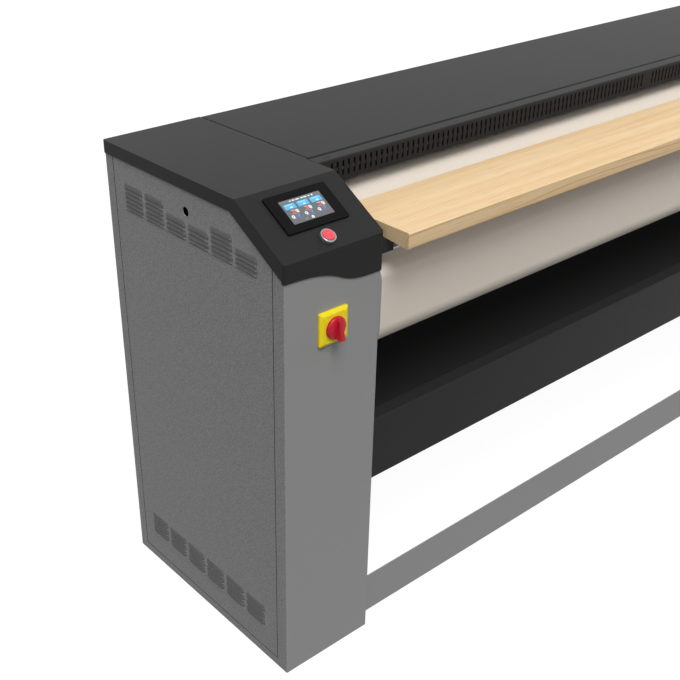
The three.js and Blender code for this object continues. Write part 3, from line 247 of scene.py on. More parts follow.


# Blackened steel of the finger guard: an oxide coat with faint drawn marks. The rod is drawn paler than its
# flap, within reach of the rod's middle line: painted light standing in for the light it catches behind the
# slots.
def blackenedSteel(rodMiddle, reach):
    finish, tree = newFinish("blackened_steel", Metallic=0.1, Roughness=0.6, Specular_IOR_Level=0.1)
    place = addNode(tree, "TexCoord", output="Object")
    drawn = addNode(tree, "Mapping", {"Vector": place, "Scale": (30, 900, 900)})
    marks = addNode(tree, "TexNoise", {"Vector": drawn, "Scale": 1.0, "Detail": 2.0})
    coat = addNode(tree, "ValToRGB", {"Fac": marks}, stops=[(0.3, "#0e0e0e"), (0.7, "#171717")])
    # painted light: the rod's paler colour stands in for the light it catches behind the slots
    paintedLightOnRod = addNode(tree, "ValToRGB", {"Fac": marks}, stops=[(0.3, "#545454"), (0.7, "#606060")])
    flat = addNode(tree, "VectorMath", {0: place, 1: (0.0, 1.0, 1.0)}, operation="MULTIPLY")
    middle = (0.0, rodMiddle[1], rodMiddle[2])
    away = addNode(tree, "VectorMath", {0: flat, 1: middle}, output="Value", operation="DISTANCE")
    onRod = addNode(tree, "Math", {0: away, 1: reach}, operation="LESS_THAN")
    colour = addNode(tree, "Mix", {0: onRod, 6: coat, 7: paintedLightOnRod}, output=2, data_type="RGBA")
    return patterned(finish, Base_Color=colour)


# Galvanised sheet: spangle of pale crystals about 8 mm across.
def galvanisedSheet():
    finish, tree = newFinish("galvanised_sheet", Metallic=1.0)
    place = addNode(tree, "TexCoord", output="Object")
    spangle = addNode(tree, "TexVoronoi", {"Vector": place, "Scale": 125.0}, output="Color")
    shade = addNode(tree, "SeparateColor", {0: spangle})
    colour = addNode(tree, "ValToRGB", {"Fac": shade}, stops=[(0.0, "#a9adb0"), (1.0, "#c2c6c9")])
    rough = addNode(tree, "MapRange", {"Value": shade, "To Min": 0.38, "To Max": 0.5})
    return patterned(finish, Base_Color=colour, Roughness=rough)


# Woven aramid ironing felt: a twill of 1 mm threads, drawn with a 5 mm rib so that it shows. It follows
# the cloth's own map, which is in metres.
def wovenFelt():
    finish, tree = newFinish("woven_ironing_felt", Roughness=0.95, Specular_IOR_Level=0.15,
                             Sheen_Weight=0.12, Sheen_Roughness=0.5)
    cloth = addNode(tree, "UVMap", uv_map="cloth")
    twill = addNode(tree, "Mapping", {"Vector": cloth, "Rotation": (0, 0, np.radians(52))})
    ribs = addNode(tree, "TexWave", {"Vector": twill, "Scale": 62.0, "Distortion": 0.6, "Detail": 1.0,
                                     "Detail Scale": 4.0}, output="Fac", wave_type="BANDS")
    crossed = addNode(tree, "Mapping", {"Vector": cloth, "Rotation": (0, 0, np.radians(-38))})
    weft = addNode(tree, "TexWave", {"Vector": crossed, "Scale": 120.0}, output="Fac", wave_type="BANDS")
    fluff = addNode(tree, "TexNoise", {"Vector": cloth, "Scale": 60.0, "Detail": 4.0})
    woven = addNode(tree, "Math", {0: weft, 1: 0.35, 2: ribs}, operation="MULTIPLY_ADD")
    mixed = addNode(tree, "Math", {0: fluff, 1: 0.5, 2: woven}, operation="MULTIPLY_ADD")
    shade = addNode(tree, "MapRange", {"Value": mixed, "From Min": 0.2, "From Max": 1.5})
    colour = addNode(tree, "ValToRGB", {"Fac": shade},
                     stops=[(0.0, "#e6dacb"), (0.5, "#ebe0d2"), (1.0, "#efe6da")])
    bump = addNode(tree, "Bump", {"Height": mixed, "Strength": 0.3, "Distance": 0.0008})
    return patterned(finish, Base_Color=colour, Normal=bump)


# Oiled ash board: growth lines run along it about 8 mm apart, in bands, with broad tones and short
# pores. A line is where the fraction of 130 y + 62 z, made to wander by a long noise, comes near one.
def ashBoard():
    finish, tree = newFinish("oiled_ash", Roughness=0.52, Specular_IOR_Level=0.2)
    place = addNode(tree, "TexCoord", output="Object")
    noises = []
    for stretch, detail in (((0.55, 7.0, 7.0), 2.0), ((0.45, 21.0, 30.0), 1.0), ((1.3, 46.0, 46.0), 2.0),
                            ((14.0, 420.0, 420.0), 1.0)):
        along = addNode(tree, "Mapping", {"Vector": place, "Scale": stretch})
        noises.append(addNode(tree, "TexNoise", {"Vector": along, "Scale": 1.0, "Detail": detail}))
    wander, band, tone, pores = noises
    level = addNode(tree, "VectorMath", {0: place, 1: (0.0, 130.0, 62.0)}, output="Value",
                    operation="DOT_PRODUCT")
    level = addNode(tree, "Math", {0: wander, 1: 9.0, 2: level}, operation="MULTIPLY_ADD")
    ring = addNode(tree, "Math", {0: level}, operation="FRACT")
    base = addNode(tree, "ValToRGB", {"Fac": tone},
                   stops=[(0.3, "#f0d3a9"), (0.52, "#edcea2"), (0.72, "#e5c291")])
    line = addNode(tree, "MapRange", {"Value": ring, "From Min": 0.7, "From Max": 0.93},
                   interpolation_type="SMOOTHSTEP")
    share = addNode(tree, "MapRange", {"Value": band, "From Min": 0.44, "From Max": 0.66,
                                       "To Min": 0.12, "To Max": 0.85})
    lined = addNode(tree, "Math", {0: line, 1: share}, operation="MULTIPLY")
    colour = addNode(tree, "Mix", {0: lined, 6: base, 7: toLinear("#cfa671")}, output=2, data_type="RGBA")
    streak = addNode(tree, "MapRange", {"Value": pores, "From Min": 0.58, "From Max": 0.74, "To Max": 0.5})
    colour = addNode(tree, "Mix", {0: streak, 6: colour, 7: toLinear("#cda470")}, output=2, data_type="RGBA")
    bump = addNode(tree, "Bump", {"Height": pores, "Strength": 0.08, "Distance": 0.0005})
    return patterned(finish, Base_Color=colour, Normal=bump)


# Moulded polycarbonate of knob, cap and plate: even colour, with a slight flow mottle of 6 mm.
def polycarbonate(name, dark, light, roughness):
    return mottled(name, 160.0, 2.0, dark, light, Roughness=roughness, IOR=1.58, Specular_IOR_Level=0.2)


# Display under touch glass: the picture is a colour of the mesh, under a thin clear coat.
def litDisplay():
    finish, tree = newFinish("lit_display", Roughness=0.3, Coat_Weight=0.3, Coat_Roughness=0.12,
                             Specular_IOR_Level=0.3, Emission_Strength=0.12)
    picture = addNode(tree, "VertexColor", layer_name="picture")
    return patterned(finish, Base_Color=picture, Emission_Color=picture)


finishes = {
    "grey_paint": powderCoatGrey(),
    "black_paint": powderCoatBlack("satin_powder_coat_black"),
    # ground steel of cylinder, rollers and shafts: fine marks round the turned face
    "steel": mottled("ground_steel", (900, 40, 40), 3.0, "#b9bbbe", "#cfd1d3", gloss=(0.24, 0.36),
                     Metallic=1.0),
    "zinc": galvanisedSheet(),
    # sand cast iron of bearings and pulleys: grains of 1.5 mm under a dark primer
    "iron": mottled("cast_iron_primed", 700.0, 3.0, "#3d4043", "#4b4e52", relief=(0.4, 0.0008),
                    Metallic=0.3, Roughness=0.62),
    # sprayed enamel on the motors: blue grey over the 4 mm waves of a cast housing
    "motor_paint": mottled("blue_grey_enamel", 260.0, 4.0, "#46545f", "#52626e", relief=(0.25, 0.0008),
                           Roughness=0.42),
    # neoprene of drive belt and seals: dull black with dust in its pores
    "drive_rubber": mottled("neoprene_black", 350.0, 3.0, "#1b1b1c", "#29292a", ends=(0.35, 0.75),
                            Roughness=0.85, Specular_IOR_Level=0.06),
    "belt_cloth": wovenFelt(),
    "beech": ashBoard(),
    # moulded ABS of panel bezel and boxes: black with a spark eroded grain of about 1 mm
    "black_plastic": mottled("moulded_abs_black", 1200.0, 1.0, "#101010", "#161616", relief=(0.15, 0.0003),
                             Roughness=0.45, Specular_IOR_Level=0.04),
    "screen": litDisplay(),
    "red_plastic": polycarbonate("polycarbonate_red", "#c01a30", "#ce2138", 0.32),
    "yellow_plastic": polycarbonate("polycarbonate_yellow", "#fbe31e", "#ffea26", 0.42),
}
# Stamped louvre hoods under the grey coat, smooth on the scales and a little darker than the panel: painted
# shade on the scales.
louvreShadeFinish = mottled("powder_coat_on_louvres_painted_shade", 210.0, 2.0, "#6a6a6a", "#7b7b7b", relief=(0.15, 0.0008),
                       Roughness=0.6, Specular_IOR_Level=0.05)
# Black felt of the hood's gasket, and of the baffle behind the slots, which is a dark sheet standing in for
# the shade inside the machine: fibres about 1 mm apart.
seamAndShadeFelt = mottled("black_felt_for_seam_and_painted_shade", 900.0, 2.0, "#0c0c0c", "#151515", Roughness=0.95, Specular_IOR_Level=0.03)
# Satin nickel on the button's brass ring: grey, with a faint grain of 1 mm in colour and gloss.
ringFinish = mottled("satin_nickel_on_brass", 900.0, 2.0, "#9b9da0", "#aeb0b2", gloss=(0.26, 0.36),
                     Metallic=0.75)
# The button's cap is a paler red than the knob.
capFinish = polycarbonate("polycarbonate_button_red", "#f2505c", "#fa5a66", 0.3)

for part in frame["record"]["subparts"]:
    mesh = nodes[part["node"]].data
    mesh.materials.clear()
    mesh.materials.append(finishes[part["material_slot"]])

guardRod = {"y": 209.0, "z": 1096.0, "reach": 4.6}
rodMiddle = fromCorner([0.0, guardRod["y"], guardRod["z"]]).tolist()
nodes["finger_guard"].data.materials[0] = blackenedSteel(rodMiddle, guardRod["reach"] / 1000)

stripScrews = {"x": (287.0, 299.0, 2551.0, 2563.0), "y": 215.0, "z": 1125.0, "radius": 3.8}
screwPlaces = fromCorner([(x, stripScrews["y"], stripScrews["z"]) for x in stripScrews["x"]]).tolist()
nodes["vent_strip"].data.materials[0] = powderCoatBlack("satin_powder_coat_black_screwed", screwPlaces,
                                                        stripScrews["radius"] / 1000)
print("finishes given to", len(nodes), "nodes")


def gridQuads(rows, columns, rowsClose=False, columnsClose=False):
    # each cell's corners (i, j), (i, j + 1), (i + 1, j + 1), (i + 1, j), past the seam where a way closes
    i = np.arange(rows if rowsClose else rows - 1)[:, None]
    j = np.arange(columns if columnsClose else columns - 1)[None, :]
    nextI, nextJ = (i + 1) % rows, (j + 1) % columns
    corners = (i * columns + j, i * columns + nextJ, nextI * columns + nextJ, nextI * columns + j)
    return np.stack(np.broadcast_arrays(*corners), axis=-1).reshape(-1, 4)


def gridEdge(rows, columns):
    # indices once round the edge of a grid
    index = np.arange(rows * columns).reshape(rows, columns)
    return np.concatenate([index[0, :-1], index[:-1, -1], index[-1, :0:-1], index[:0:-1, 0]])


def signedVolume(points, quads):
    # sum over the quads' triangles of a . (b x c) / 6, about the middle of the points
    p = points - points.mean(axis=0)
    a, b, c, d = (p[quads[:, k]] for k in range(4))
    return float(np.sum(a * np.cross(b, c) + a * np.cross(c, d)) / 6)


def newPiece(name, points, quads, finish, body, caps=(), sharpAngle=None):
    # a mesh of quads and flat caps whose faces point outwards, riding on its body
    mesh = bpy.data.meshes.new(name)
    mesh.from_pydata(points.tolist(), [], quads.tolist() + [cap.tolist() for cap in caps])
    if signedVolume(points, quads) < 0:
        mesh.flip_normals()
    if sharpAngle:
        mesh.polygons.foreach_set("use_smooth", np.ones(len(mesh.polygons), bool))
        mesh.set_sharp_from_angle(angle=np.radians(sharpAngle))
    mesh.materials.append(finish)
    piece = bpy.data.objects.new(name, mesh)
    scene.collection.objects.link(piece)
    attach(piece, body)
    return piece


def loftedPiece(name, rings, finish, body, sharpAngle=40, ringsClose=False):
    # vertex = rings[i, j]; j runs round, i along; ends are flat caps unless the rings close
    rings = np.asarray(rings, float)
    rows, around = rings.shape[:2]
    firstRing = np.arange(around)
    caps = () if ringsClose else (firstRing[::-1], firstRing + (rows - 1) * around)
    quads = gridQuads(rows, around, rowsClose=ringsClose, columnsClose=True)
    return newPiece(name, rings.reshape(-1, 3), quads, finish, body, caps, sharpAngle)


def softened(path, radius, steps=4):
    # closed outline whose corners become curves: (1-t)^2 a + 2 t (1-t) corner + t^2 b; a curve takes the
    # radius of each side, or 0.45 of a short one
    path = np.asarray(path, float)
    before, after = np.roll(path, 1, axis=0) - path, np.roll(path, -1, axis=0) - path
    lengths = [np.linalg.norm(side, axis=1, keepdims=True) for side in (before, after)]
    a = path + before / lengths[0] * np.minimum(radius, lengths[0] * 0.45)
    b = path + after / lengths[1] * np.minimum(radius, lengths[1] * 0.45)
    t = np.linspace(0.0, 1.0, steps + 1)[None, :, None]
    curve = (1 - t) ** 2 * a[:, None] + 2 * t * (1 - t) * path[:, None] + t ** 2 * b[:, None]
    return curve.reshape(-1, path.shape[1])


def openSoftened(path, radius, steps=4):
    # as softened, but the first and last points stay
    path = np.asarray(path, float)
    inner = softened(path, radius, steps).reshape(len(path), steps + 1, path.shape[1])[1:-1]
    return np.vstack([path[:1], inner.reshape(-1, path.shape[1]), path[-1:]])


def turnedRings(profile, origin, axisU, axisV, axisW, segments=56):
    # point = origin + r cos(a) u + r sin(a) v + h w, for each (r, h) of the profile
    profile = np.asarray(profile, float) / 1000.0
    angle = np.linspace(0, 2 * np.pi, segments, endpoint=False)
    ring = np.cos(angle)[:, None] * axisU + np.sin(angle)[:, None] * axisV
    return origin + profile[:, 0, None, None] * ring + profile[:, 1, None, None] * axisW


def barRings(bar):
    # a bar along x with the dictionary's section in y and z
    (yLow, yHigh), (zLow, zHigh) = bar["y"], bar["z"]
    section = ((yLow, zLow), (yHigh, zLow), (yHigh, zHigh), (yLow, zHigh))
    return fromCorner([[(x, y, z) for y, z in section] for x in (bar["fromX"], bar["toX"])])


# Loose CAD triangles are joined. Covers, casings and bezel get a small round on their edges, in
# millimetres, and the creased nodes shade smoothly from crease to crease.
softEdges = {
    "left_cover": 1.2, "right_cover": 1.2, "top_hood": 1.2, "touch_panel": 0.5,
    "left_casing": 0.8, "right_casing": 0.8,
}
creasedNodes = [
    "heated_cylinder", "nose_roller", "nip_roller", "rear_upper_roller", "rear_lower_roller",
    "front_return_roller", "drive_shaft", "cylinder_pulley", "motor_pulley", "fan_motor", "gear_motor",
    "exhaust_spigot", "fan_housing", "finger_guard", "drive_belt", "cylinder_bearing_left",
    "cylinder_bearing_right", "linen_tray", "vent_strip", "end_plate_left", "end_plate_right",
    "feed_board", "front_crossbar", "rear_crossbar", "rear_panel", "board_rail", "left_side_panel",
    "right_side_panel",
]
weldReach = 0.00001


def addModifier(node, name, kind, **settings):
    # adds one modifier with its settings
    modifier = node.modifiers.new(name, kind)
    for key, value in settings.items():
        setattr(modifier, key, value)


for name in creasedNodes:
    node = nodes[name]
    node.data.polygons.foreach_set("use_smooth", np.ones(len(node.data.polygons), bool))
    addModifier(node, "join_triangles", "WELD", merge_threshold=weldReach)
    addModifier(node, "keep_creases", "EDGE_SPLIT", split_angle=np.radians(32))
    addModifier(node, "flats_stay_flat", "WEIGHTED_NORMAL", weight=90)
for name, width in softEdges.items():
    node = nodes[name]
    addModifier(node, "join_triangles", "WELD", merge_threshold=weldReach)
    addModifier(node, "whole_flats", "DECIMATE", decimate_type="DISSOLVE", angle_limit=np.radians(0.5))
    addModifier(node, "rounded_edges", "BEVEL", width=width / 1000, segments=2, limit_method="ANGLE",
                angle_limit=np.radians(30), harden_normals=True)
print("edges softened")


# Each roller is (y, z, radius, 1 inside the loop or -1 outside), in the order the cloth meets them.
ironingBelt = {
    "thickness": 4.0, "gap": 0.4, "fromX": 263.0, "toX": 2587.0, "columns": 40, "arcStep": 4.0,
    "rollers": [(43, 927, 26.6, 1), (245, 1024, 21.6, 1), (405, 948, 150, -1), (570, 1035, 21.6, 1),
                (545, 775, 21.6, 1), (72, 820, 55.6, 1)],
}


def beltLine(height):
    # straight runs touch both circles; on a roller, point = centre + reach (-sin a, cos a)
    y, z, radius, side = np.array(ironingBelt["rollers"], float).T
    gap, thick = ironingBelt["gap"], ironingBelt["thickness"]
    reach = np.where(side > 0, radius + gap + height, -(radius + gap + thick - height))
    dy, dz = np.roll(y, -1) - y, np.roll(z, -1) - z
    heading = np.arctan2(dz, dy) - np.arcsin((reach - np.roll(reach, -1)) / np.hypot(dy, dz))
    turn = (heading - np.roll(heading, 1)) % (2 * np.pi)
    turn = np.where(side > 0, turn - 2 * np.pi, turn)
    line = []
    for k in range(len(y)):
        steps = int(np.ceil(abs(np.degrees(turn[k])) / ironingBelt["arcStep"]))
        angle = np.roll(heading, 1)[k] + turn[k] * np.linspace(0, 1, steps + 1)
        line.append(np.stack([y[k] - reach[k] * np.sin(angle), z[k] + reach[k] * np.cos(angle)], axis=1))
    return np.vstack(line)


def beltRings():
    # across the cloth: outer face from left to right, inner face back; along: the loop. Its map is in metres
    x = np.linspace(ironingBelt["fromX"], ironingBelt["toX"], ironingBelt["columns"])
    outer, inner = (np.stack(np.broadcast_arrays(x[None, :], line[:, :1], line[:, 1:]), axis=-1)
                    for line in (beltLine(ironingBelt["thickness"]), beltLine(0.0)))
    length = np.concatenate([[0], np.cumsum(np.hypot(*np.diff(outer[:, 0, 1:], axis=0).T))]) / 1000
    along = np.broadcast_to(length[:, None], (len(outer), 2 * len(x)))
    across = np.broadcast_to(np.concatenate([x, x[::-1]]) / 1000, along.shape)
    return np.concatenate([outer, inner[:, ::-1]], axis=1), np.stack([across, along], axis=-1)


rings, clothMap = beltRings()
beltCloth = loftedPiece("ironing_belt_cloth", fromCorner(rings), finishes["belt_cloth"], "frame",
                        ringsClose=True)
corner = np.zeros(len(beltCloth.data.loops), np.int32)
beltCloth.data.loops.foreach_get("vertex_index", corner)
layer = beltCloth.data.uv_layers.new(name="cloth")
layer.data.foreach_set("uv", clothMap.astype(np.float32).reshape(-1, 2)[corner].ravel())
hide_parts("ironing_belt")


# Louvre hoods and seals of the two side panels.
sidePanels = {
    "length": 66.0, "pitch": 10.0, "slot": 3.5, "columnY": (480.0, 400.7, 321.4, 242.1, 162.8, 83.5),
    "upperZ": 984.0, "upperCounts": (6, 6, 4, 4, 6, 4), "lowerZ": 87.0, "lowerCounts": (6,) * 6,
    "hoodWidth": 71.0, "hoodHeight": 9.4, "hoodProud": 2.1, "hoodWall": 0.8, "hoodDrop": 0.6,
    "hoodTaper": 0.14, "faceX": 2.3, "machineLength": 2850.0, "sealDepth": 0.11,
    "seamOutline": [(36, 23.5), (589, 23.5), (589, 1105), (149.0, 1105), (36, 1038.8)],
    # the seal's section: millimetres in from the outline, millimetres out of the panel's face
    "sealSection": [(-0.4, 0.0), (1.4, 0.0), (1.4, 0.1), (0.95, 0.12), (0.95, 1.3), (0.05, 1.3), (0.05, 0.12),
                    (-0.4, 0.1)],
}


def hoodPlaces():
    # (y, z) of the lower edge of every hood: the columns' slots, counted up from the lowest
    y, z, upper = [], [], []
    for level in ("upper", "lower"):
        firstZ = sidePanels[level + "Z"] + sidePanels["slot"]
        for columnY, count in zip(sidePanels["columnY"], sidePanels[level + "Counts"]):
            y += [columnY + sidePanels["length"] / 2] * count
            z += (firstZ + sidePanels["pitch"] * np.arange(count)).tolist()
            upper += (np.arange(count) % 2).tolist()
    return np.array(y), np.array(z), np.array(upper)


def hoodShells(upperOfPair):
    # one hood: depth = proud * sqrt(1 - a^12) * (1 - b^2) over a across and b up, and its inner wall behind;
    # two hoods make one scale, whose sides round in towards its foot and its top
    a, b = np.meshgrid(np.sin(np.linspace(-0.5, 0.5, 13) * np.pi), np.linspace(0, 1, 6))
    rise = np.sqrt(np.clip(1 - a ** 12, 0, 1)) * (1 - b ** 2)
    end = (1 + b) / 2 if upperOfPair else b / 2
    across = a * sidePanels["hoodWidth"] / 2 * (1 - sidePanels["hoodTaper"] * np.abs(2 * end - 1) ** 3)
    up = b * sidePanels["hoodHeight"] - sidePanels["hoodDrop"]
    x = sidePanels["faceX"] - sidePanels["hoodProud"] * rise
    return [np.stack([wall, across, up], axis=-1) for wall in (x, x + sidePanels["hoodWall"])]


def hoodPiece(name, mirror):
    # every hood is one of two shells, an outer and an inner wall joined round their edge
    rows, columns = hoodShells(False)[0].shape[:2]
    shells = np.stack([np.concatenate(hoodShells(upper)).reshape(-1, 3) for upper in (False, True)])
    half = rows * columns
    wall, edge = gridQuads(rows, columns)[:, [0, 3, 2, 1]], gridEdge(rows, columns)
    rim = np.stack([edge, np.roll(edge, -1), np.roll(edge, -1) + half, edge + half], axis=-1)
    hoodQuads = np.concatenate([wall, wall[:, ::-1] + half, rim])
    y, z, upper = hoodPlaces()
    points = (shells[upper] + np.stack([np.zeros_like(y), y, z], axis=-1)[:, None]).reshape(-1, 3)
    quads = (hoodQuads[None] + (np.arange(len(y)) * 2 * half)[:, None, None]).reshape(-1, 4)
    if mirror:
        points[:, 0] = sidePanels["machineLength"] - points[:, 0]
    newPiece(name, fromCorner(points), quads, louvreShadeFinish, "frame", sharpAngle=50)


def sealRings(x, way):
    # rubber strip under the seam: the section's points at each corner of the outline, moved in along
    # both walls
    outline = np.array(sidePanels["seamOutline"], float)
    edge = np.roll(outline, -1, axis=0) - outline
    normal = np.column_stack([-edge[:, 1], edge[:, 0]]) / np.linalg.norm(edge, axis=1, keepdims=True)
    before = np.roll(normal, 1, axis=0)
    mitre = (normal + before) / (1 + np.sum(normal * before, axis=1, keepdims=True))
    rings = [np.column_stack([np.full(len(outline), x + way * deep), outline + mitre * inward])
             for inward, deep in sidePanels["sealSection"]]
    return fromCorner(np.stack(rings, axis=1))


sealX = sidePanels["faceX"] - sidePanels["sealDepth"]
for side, mirror in (("left", False), ("right", True)):
    hoodPiece(side + "_louvre_hoods", mirror)
for side, faceX, way in (("left", sealX, 1.0), ("right", sidePanels["machineLength"] - sealX, -1.0)):
    loftedPiece(side + "_panel_seal", sealRings(faceX, way), finishes["drive_rubber"], "frame",
                ringsClose=True)
print("side panels dressed")


# Felt baffle behind the slotted strip, a dark sheet put there as painted shade for the machine's inside, and
# gasket in the seam between strip and hood.
# painted shade: the baffle only darkens what is seen through the slots
baffle = {"fromX": 262.0, "toX": 2588.0, "y": (234.0, 236.0), "z": (1062.0, 1121.0)}
gasket = {"fromX": 262.0, "toX": 2588.0, "y": (234.2, 237.8), "z": (1121.2, 1122.9)}
for name, bar in (("strip_shade_baffle", baffle), ("hood_seam_gasket", gasket)):
    loftedPiece(name, barRings(bar), seamAndShadeFelt, "frame")

# Wire guard in the fan's inlet, in the wall of the right cabinet.
fanGuard = {"x": 2597.3, "y": 480.0, "z": 662.0, "outer": 39.4, "inner": 5.0, "turns": 6, "wire": 1.1,
            "wireSides": 6, "spokes": 3, "spokeBehind": 1.9}
wireRound = 2 * np.pi * np.arange(fanGuard["wireSides"])[None, :] / fanGuard["wireSides"]


def spiralRings(steps=252):
    # middle line: radius = inner + (outer - inner) t, angle = 2 pi turns t; a round wire is carried along it
    t = np.linspace(0, 1, steps)[:, None]
    angle = 2 * np.pi * fanGuard["turns"] * t
    middleRadius = fanGuard["inner"] + (fanGuard["outer"] - fanGuard["inner"]) * t
    radius = middleRadius + fanGuard["wire"] * np.cos(wireRound)
    x = np.broadcast_to(fanGuard["x"] + fanGuard["wire"] * np.sin(wireRound), radius.shape)
    y, z = fanGuard["y"] + radius * np.cos(angle), fanGuard["z"] + radius * np.sin(angle)
    return fromCorner(np.stack([x, y, z], axis=-1))


def spokeRings(angle):
    # straight wire from rim to rim through the middle, behind the spiral by 1.9 of the wire's radius
    ends = np.array([-fanGuard["outer"], fanGuard["outer"]])[:, None]
    side = fanGuard["wire"] * np.cos(wireRound)
    x = fanGuard["x"] + fanGuard["wire"] * (fanGuard["spokeBehind"] + np.sin(wireRound)) + 0 * ends
    y = fanGuard["y"] + ends * np.cos(angle) - side * np.sin(angle)
    z = fanGuard["z"] + ends * np.sin(angle) + side * np.cos(angle)
    return fromCorner(np.stack([x, y, z], axis=-1))


loftedPiece("fan_guard_spiral", spiralRings(), finishes["zinc"], "frame", sharpAngle=75)
for k in range(fanGuard["spokes"]):
    spoke = spokeRings(np.pi * (k + 0.5) / fanGuard["spokes"])
    loftedPiece("fan_guard_spoke_" + str(k + 1), spoke, finishes["zinc"], "frame", sharpAngle=75)
print("strip and fan dressed")


# Console slope: u runs along the machine, v up the slope and w out of it.
slope = {"foot": [0.0, 0.0, 1038.3], "rise": 86.7, "run": 148.0}
slopeTurn = np.arctan2(slope["rise"], slope["run"])
slopeOrigin = fromCorner(slope["foot"])
slopeU = np.array([1.0, 0.0, 0.0])
slopeV = np.array([0.0, np.cos(slopeTurn), np.sin(slopeTurn)])
slopeW = np.array([0.0, -np.sin(slopeTurn), np.cos(slopeTurn)])


def onSlope(u, v, w=0.0):
    # point = origin + u, v and w along the three axes of the slope, in millimetres
    u, v, w = np.broadcast_arrays(np.asarray(u, float), np.asarray(v, float), np.asarray(w, float))
    return slopeOrigin + (u[..., None] * slopeU + v[..., None] * slopeV + w[..., None] * slopeW) / 1000


# Ring and cap are (radius, height) profiles over the slope.
stopButton = {
    "u": 127.6, "v": 28.4, "edgeRound": 0.6,
    "ring": [(0.6, -30), (10.7, -30), (10.7, 0.3), (16.6, 0.3), (16.5, 6.6), (16.0, 8.4), (15.2, 9.0),
             (13.3, 8.9), (13.3, 2), (4.0, 2), (4.0, -26), (0.6, -26)],
    "cap": [(0.4, -14), (3.7, -14), (3.7, 6), (13.0, 6), (13.0, 9.6), (11.6, 11.1), (6.0, 11.5), (0.4, 11.6)],
}
buttonMiddle = onSlope(stopButton["u"], stopButton["v"])
for name, key, finish, body, slotName, replaced in (
        ("stop_button_ring", "ring", ringFinish, "frame", "steel", "stop_button_body"),
        ("stop_button_dome", "cap", capFinish, "stop_button_cap", "red_plastic", "stop_button_cap")):
    profile = openSoftened(stopButton[key], stopButton["edgeRound"], 3)
    turned = turnedRings(profile, buttonMiddle, slopeU, slopeV, slopeW)
    piece = loftedPiece(name, turned, finish, body)
    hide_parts(replaced)
print("stop button made")


# Plate of the main switch: a rounded square with a wide bevel and a bore for the knob's stem.
mainSwitch = {
    "x": 124.0, "z": 874.0, "plateRear": 1.7, "plateFront": -7.3, "half": 37.5, "bevelDepth": 4.5,
    "bevelInset": 7.0, "corner": 5.0, "bore": 5.6, "knobRear": -7.6,
}


def aboutSwitch(outline, y):
    # an outline about the switch's middle, at one depth
    return np.column_stack([outline[:, 0] + mainSwitch["x"], np.full(len(outline), y),
                            outline[:, 1] + mainSwitch["z"]])


def roundedSquare(half, corner, steps=5):
    # square of this half side whose corners are softened
    return softened([[-half, -half], [half, -half], [half, half], [-half, half]], corner, steps)


def plateRings():
    # (half side, depth) steps from the rear face to the front face, eased at both edges of the bevel, then
    # down the bore, whose points are those of the square at the bore's radius
    front, rear, half = mainSwitch["plateFront"], mainSwitch["plateRear"], mainSwitch["half"]
    bevelFoot, inset = front + mainSwitch["bevelDepth"], mainSwitch["bevelInset"]
    steps = [(half, rear), (half, bevelFoot), (half - 0.4, bevelFoot - 0.5),
             (half - inset + 0.6, front + 0.35), (half - inset, front)]
    rings = [aboutSwitch(roundedSquare(size, mainSwitch["corner"] * size / half), y) for size, y in steps]
    square = roundedSquare(half, mainSwitch["corner"])
    bore = square / np.linalg.norm(square, axis=1, keepdims=True) * mainSwitch["bore"]
    return np.stack(rings + [aboutSwitch(bore, y) for y in (front, rear)])


switchPlate = loftedPiece("switch_plate_bevelled", fromCorner(plateRings()), finishes["yellow_plastic"],
                          "frame", sharpAngle=25, ringsClose=True)
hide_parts("switch_plate")

# Knob of the main switch: a turned disc, (radius, depth), with a tapered grip across it.
knob = {
    "disc": [(0.4, 26.0), (5.0, 26.0), (5.0, 0.0), (24.0, 0.0), (25.0, -1.2), (24.6, -4.5), (22.0, -7.6),
             (14.0, -9.6), (0.4, -10.4)],
    "gripHalf": 7.0, "gripTop": 23.5, "gripLow": -24.5, "frontTop": -17.0, "frontLow": -26.0, "root": -5.0,
    # shares of the full half width at the grip's top and at both its ends, and of the full front there
    "topShare": 0.62, "endShare": 0.45, "endFront": 0.35, "endSteepness": 9,
    "frontShare": 0.86, "sectionRound": 0.28, "edgeRound": 1.0,
}


def gripRings():
    # stations s from top to foot: half width grows evenly with s, and the front goes from top to low by
    # s^0.8; both are drawn in by a sine at the two ends, and each section is a rounded trapeze
    stations = np.linspace(0.0, 1.0, 15)
    z = knob["gripTop"] + (knob["gripLow"] - knob["gripTop"]) * stations
    ends = np.sin(np.pi * np.clip(np.minimum(stations, 1 - stations) * knob["endSteepness"], 0, 0.5))
    widening = knob["topShare"] + (1 - knob["topShare"]) * stations
    half = knob["gripHalf"] * widening * (knob["endShare"] + (1 - knob["endShare"]) * ends)
    ridge = knob["frontTop"] + (knob["frontLow"] - knob["frontTop"]) * stations ** 0.8
    front = knob["root"] + (ridge - knob["root"]) * (knob["endFront"] + (1 - knob["endFront"]) * ends)
    narrow = knob["frontShare"]
    section = softened([[-1, 0], [1, 0], [narrow, 1], [-narrow, 1]], knob["sectionRound"])
    x = mainSwitch["x"] + section[None, :, 0] * half[:, None]
    y = mainSwitch["knobRear"] + knob["root"] + section[None, :, 1] * (front - knob["root"])[:, None]
    return np.stack([x, y, np.broadcast_to(mainSwitch["z"] + z[:, None], x.shape)], axis=-1)


knobMiddle = fromCorner([mainSwitch["x"], mainSwitch["knobRear"], mainSwitch["z"]])
knobAxes = np.array([1.0, 0, 0]), np.array([0, 0, 1.0]), np.array([0, 1.0, 0])
discRings = turnedRings(openSoftened(knob["disc"], knob["edgeRound"], 3), knobMiddle, *knobAxes)
knobDisc = loftedPiece("switch_knob_disc", discRings, finishes["red_plastic"], "switch_knob")
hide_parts("switch_knob")
loftedPiece("switch_knob_grip", fromCorner(gripRings()), finishes["red_plastic"], "switch_knob")
print("main switch made")


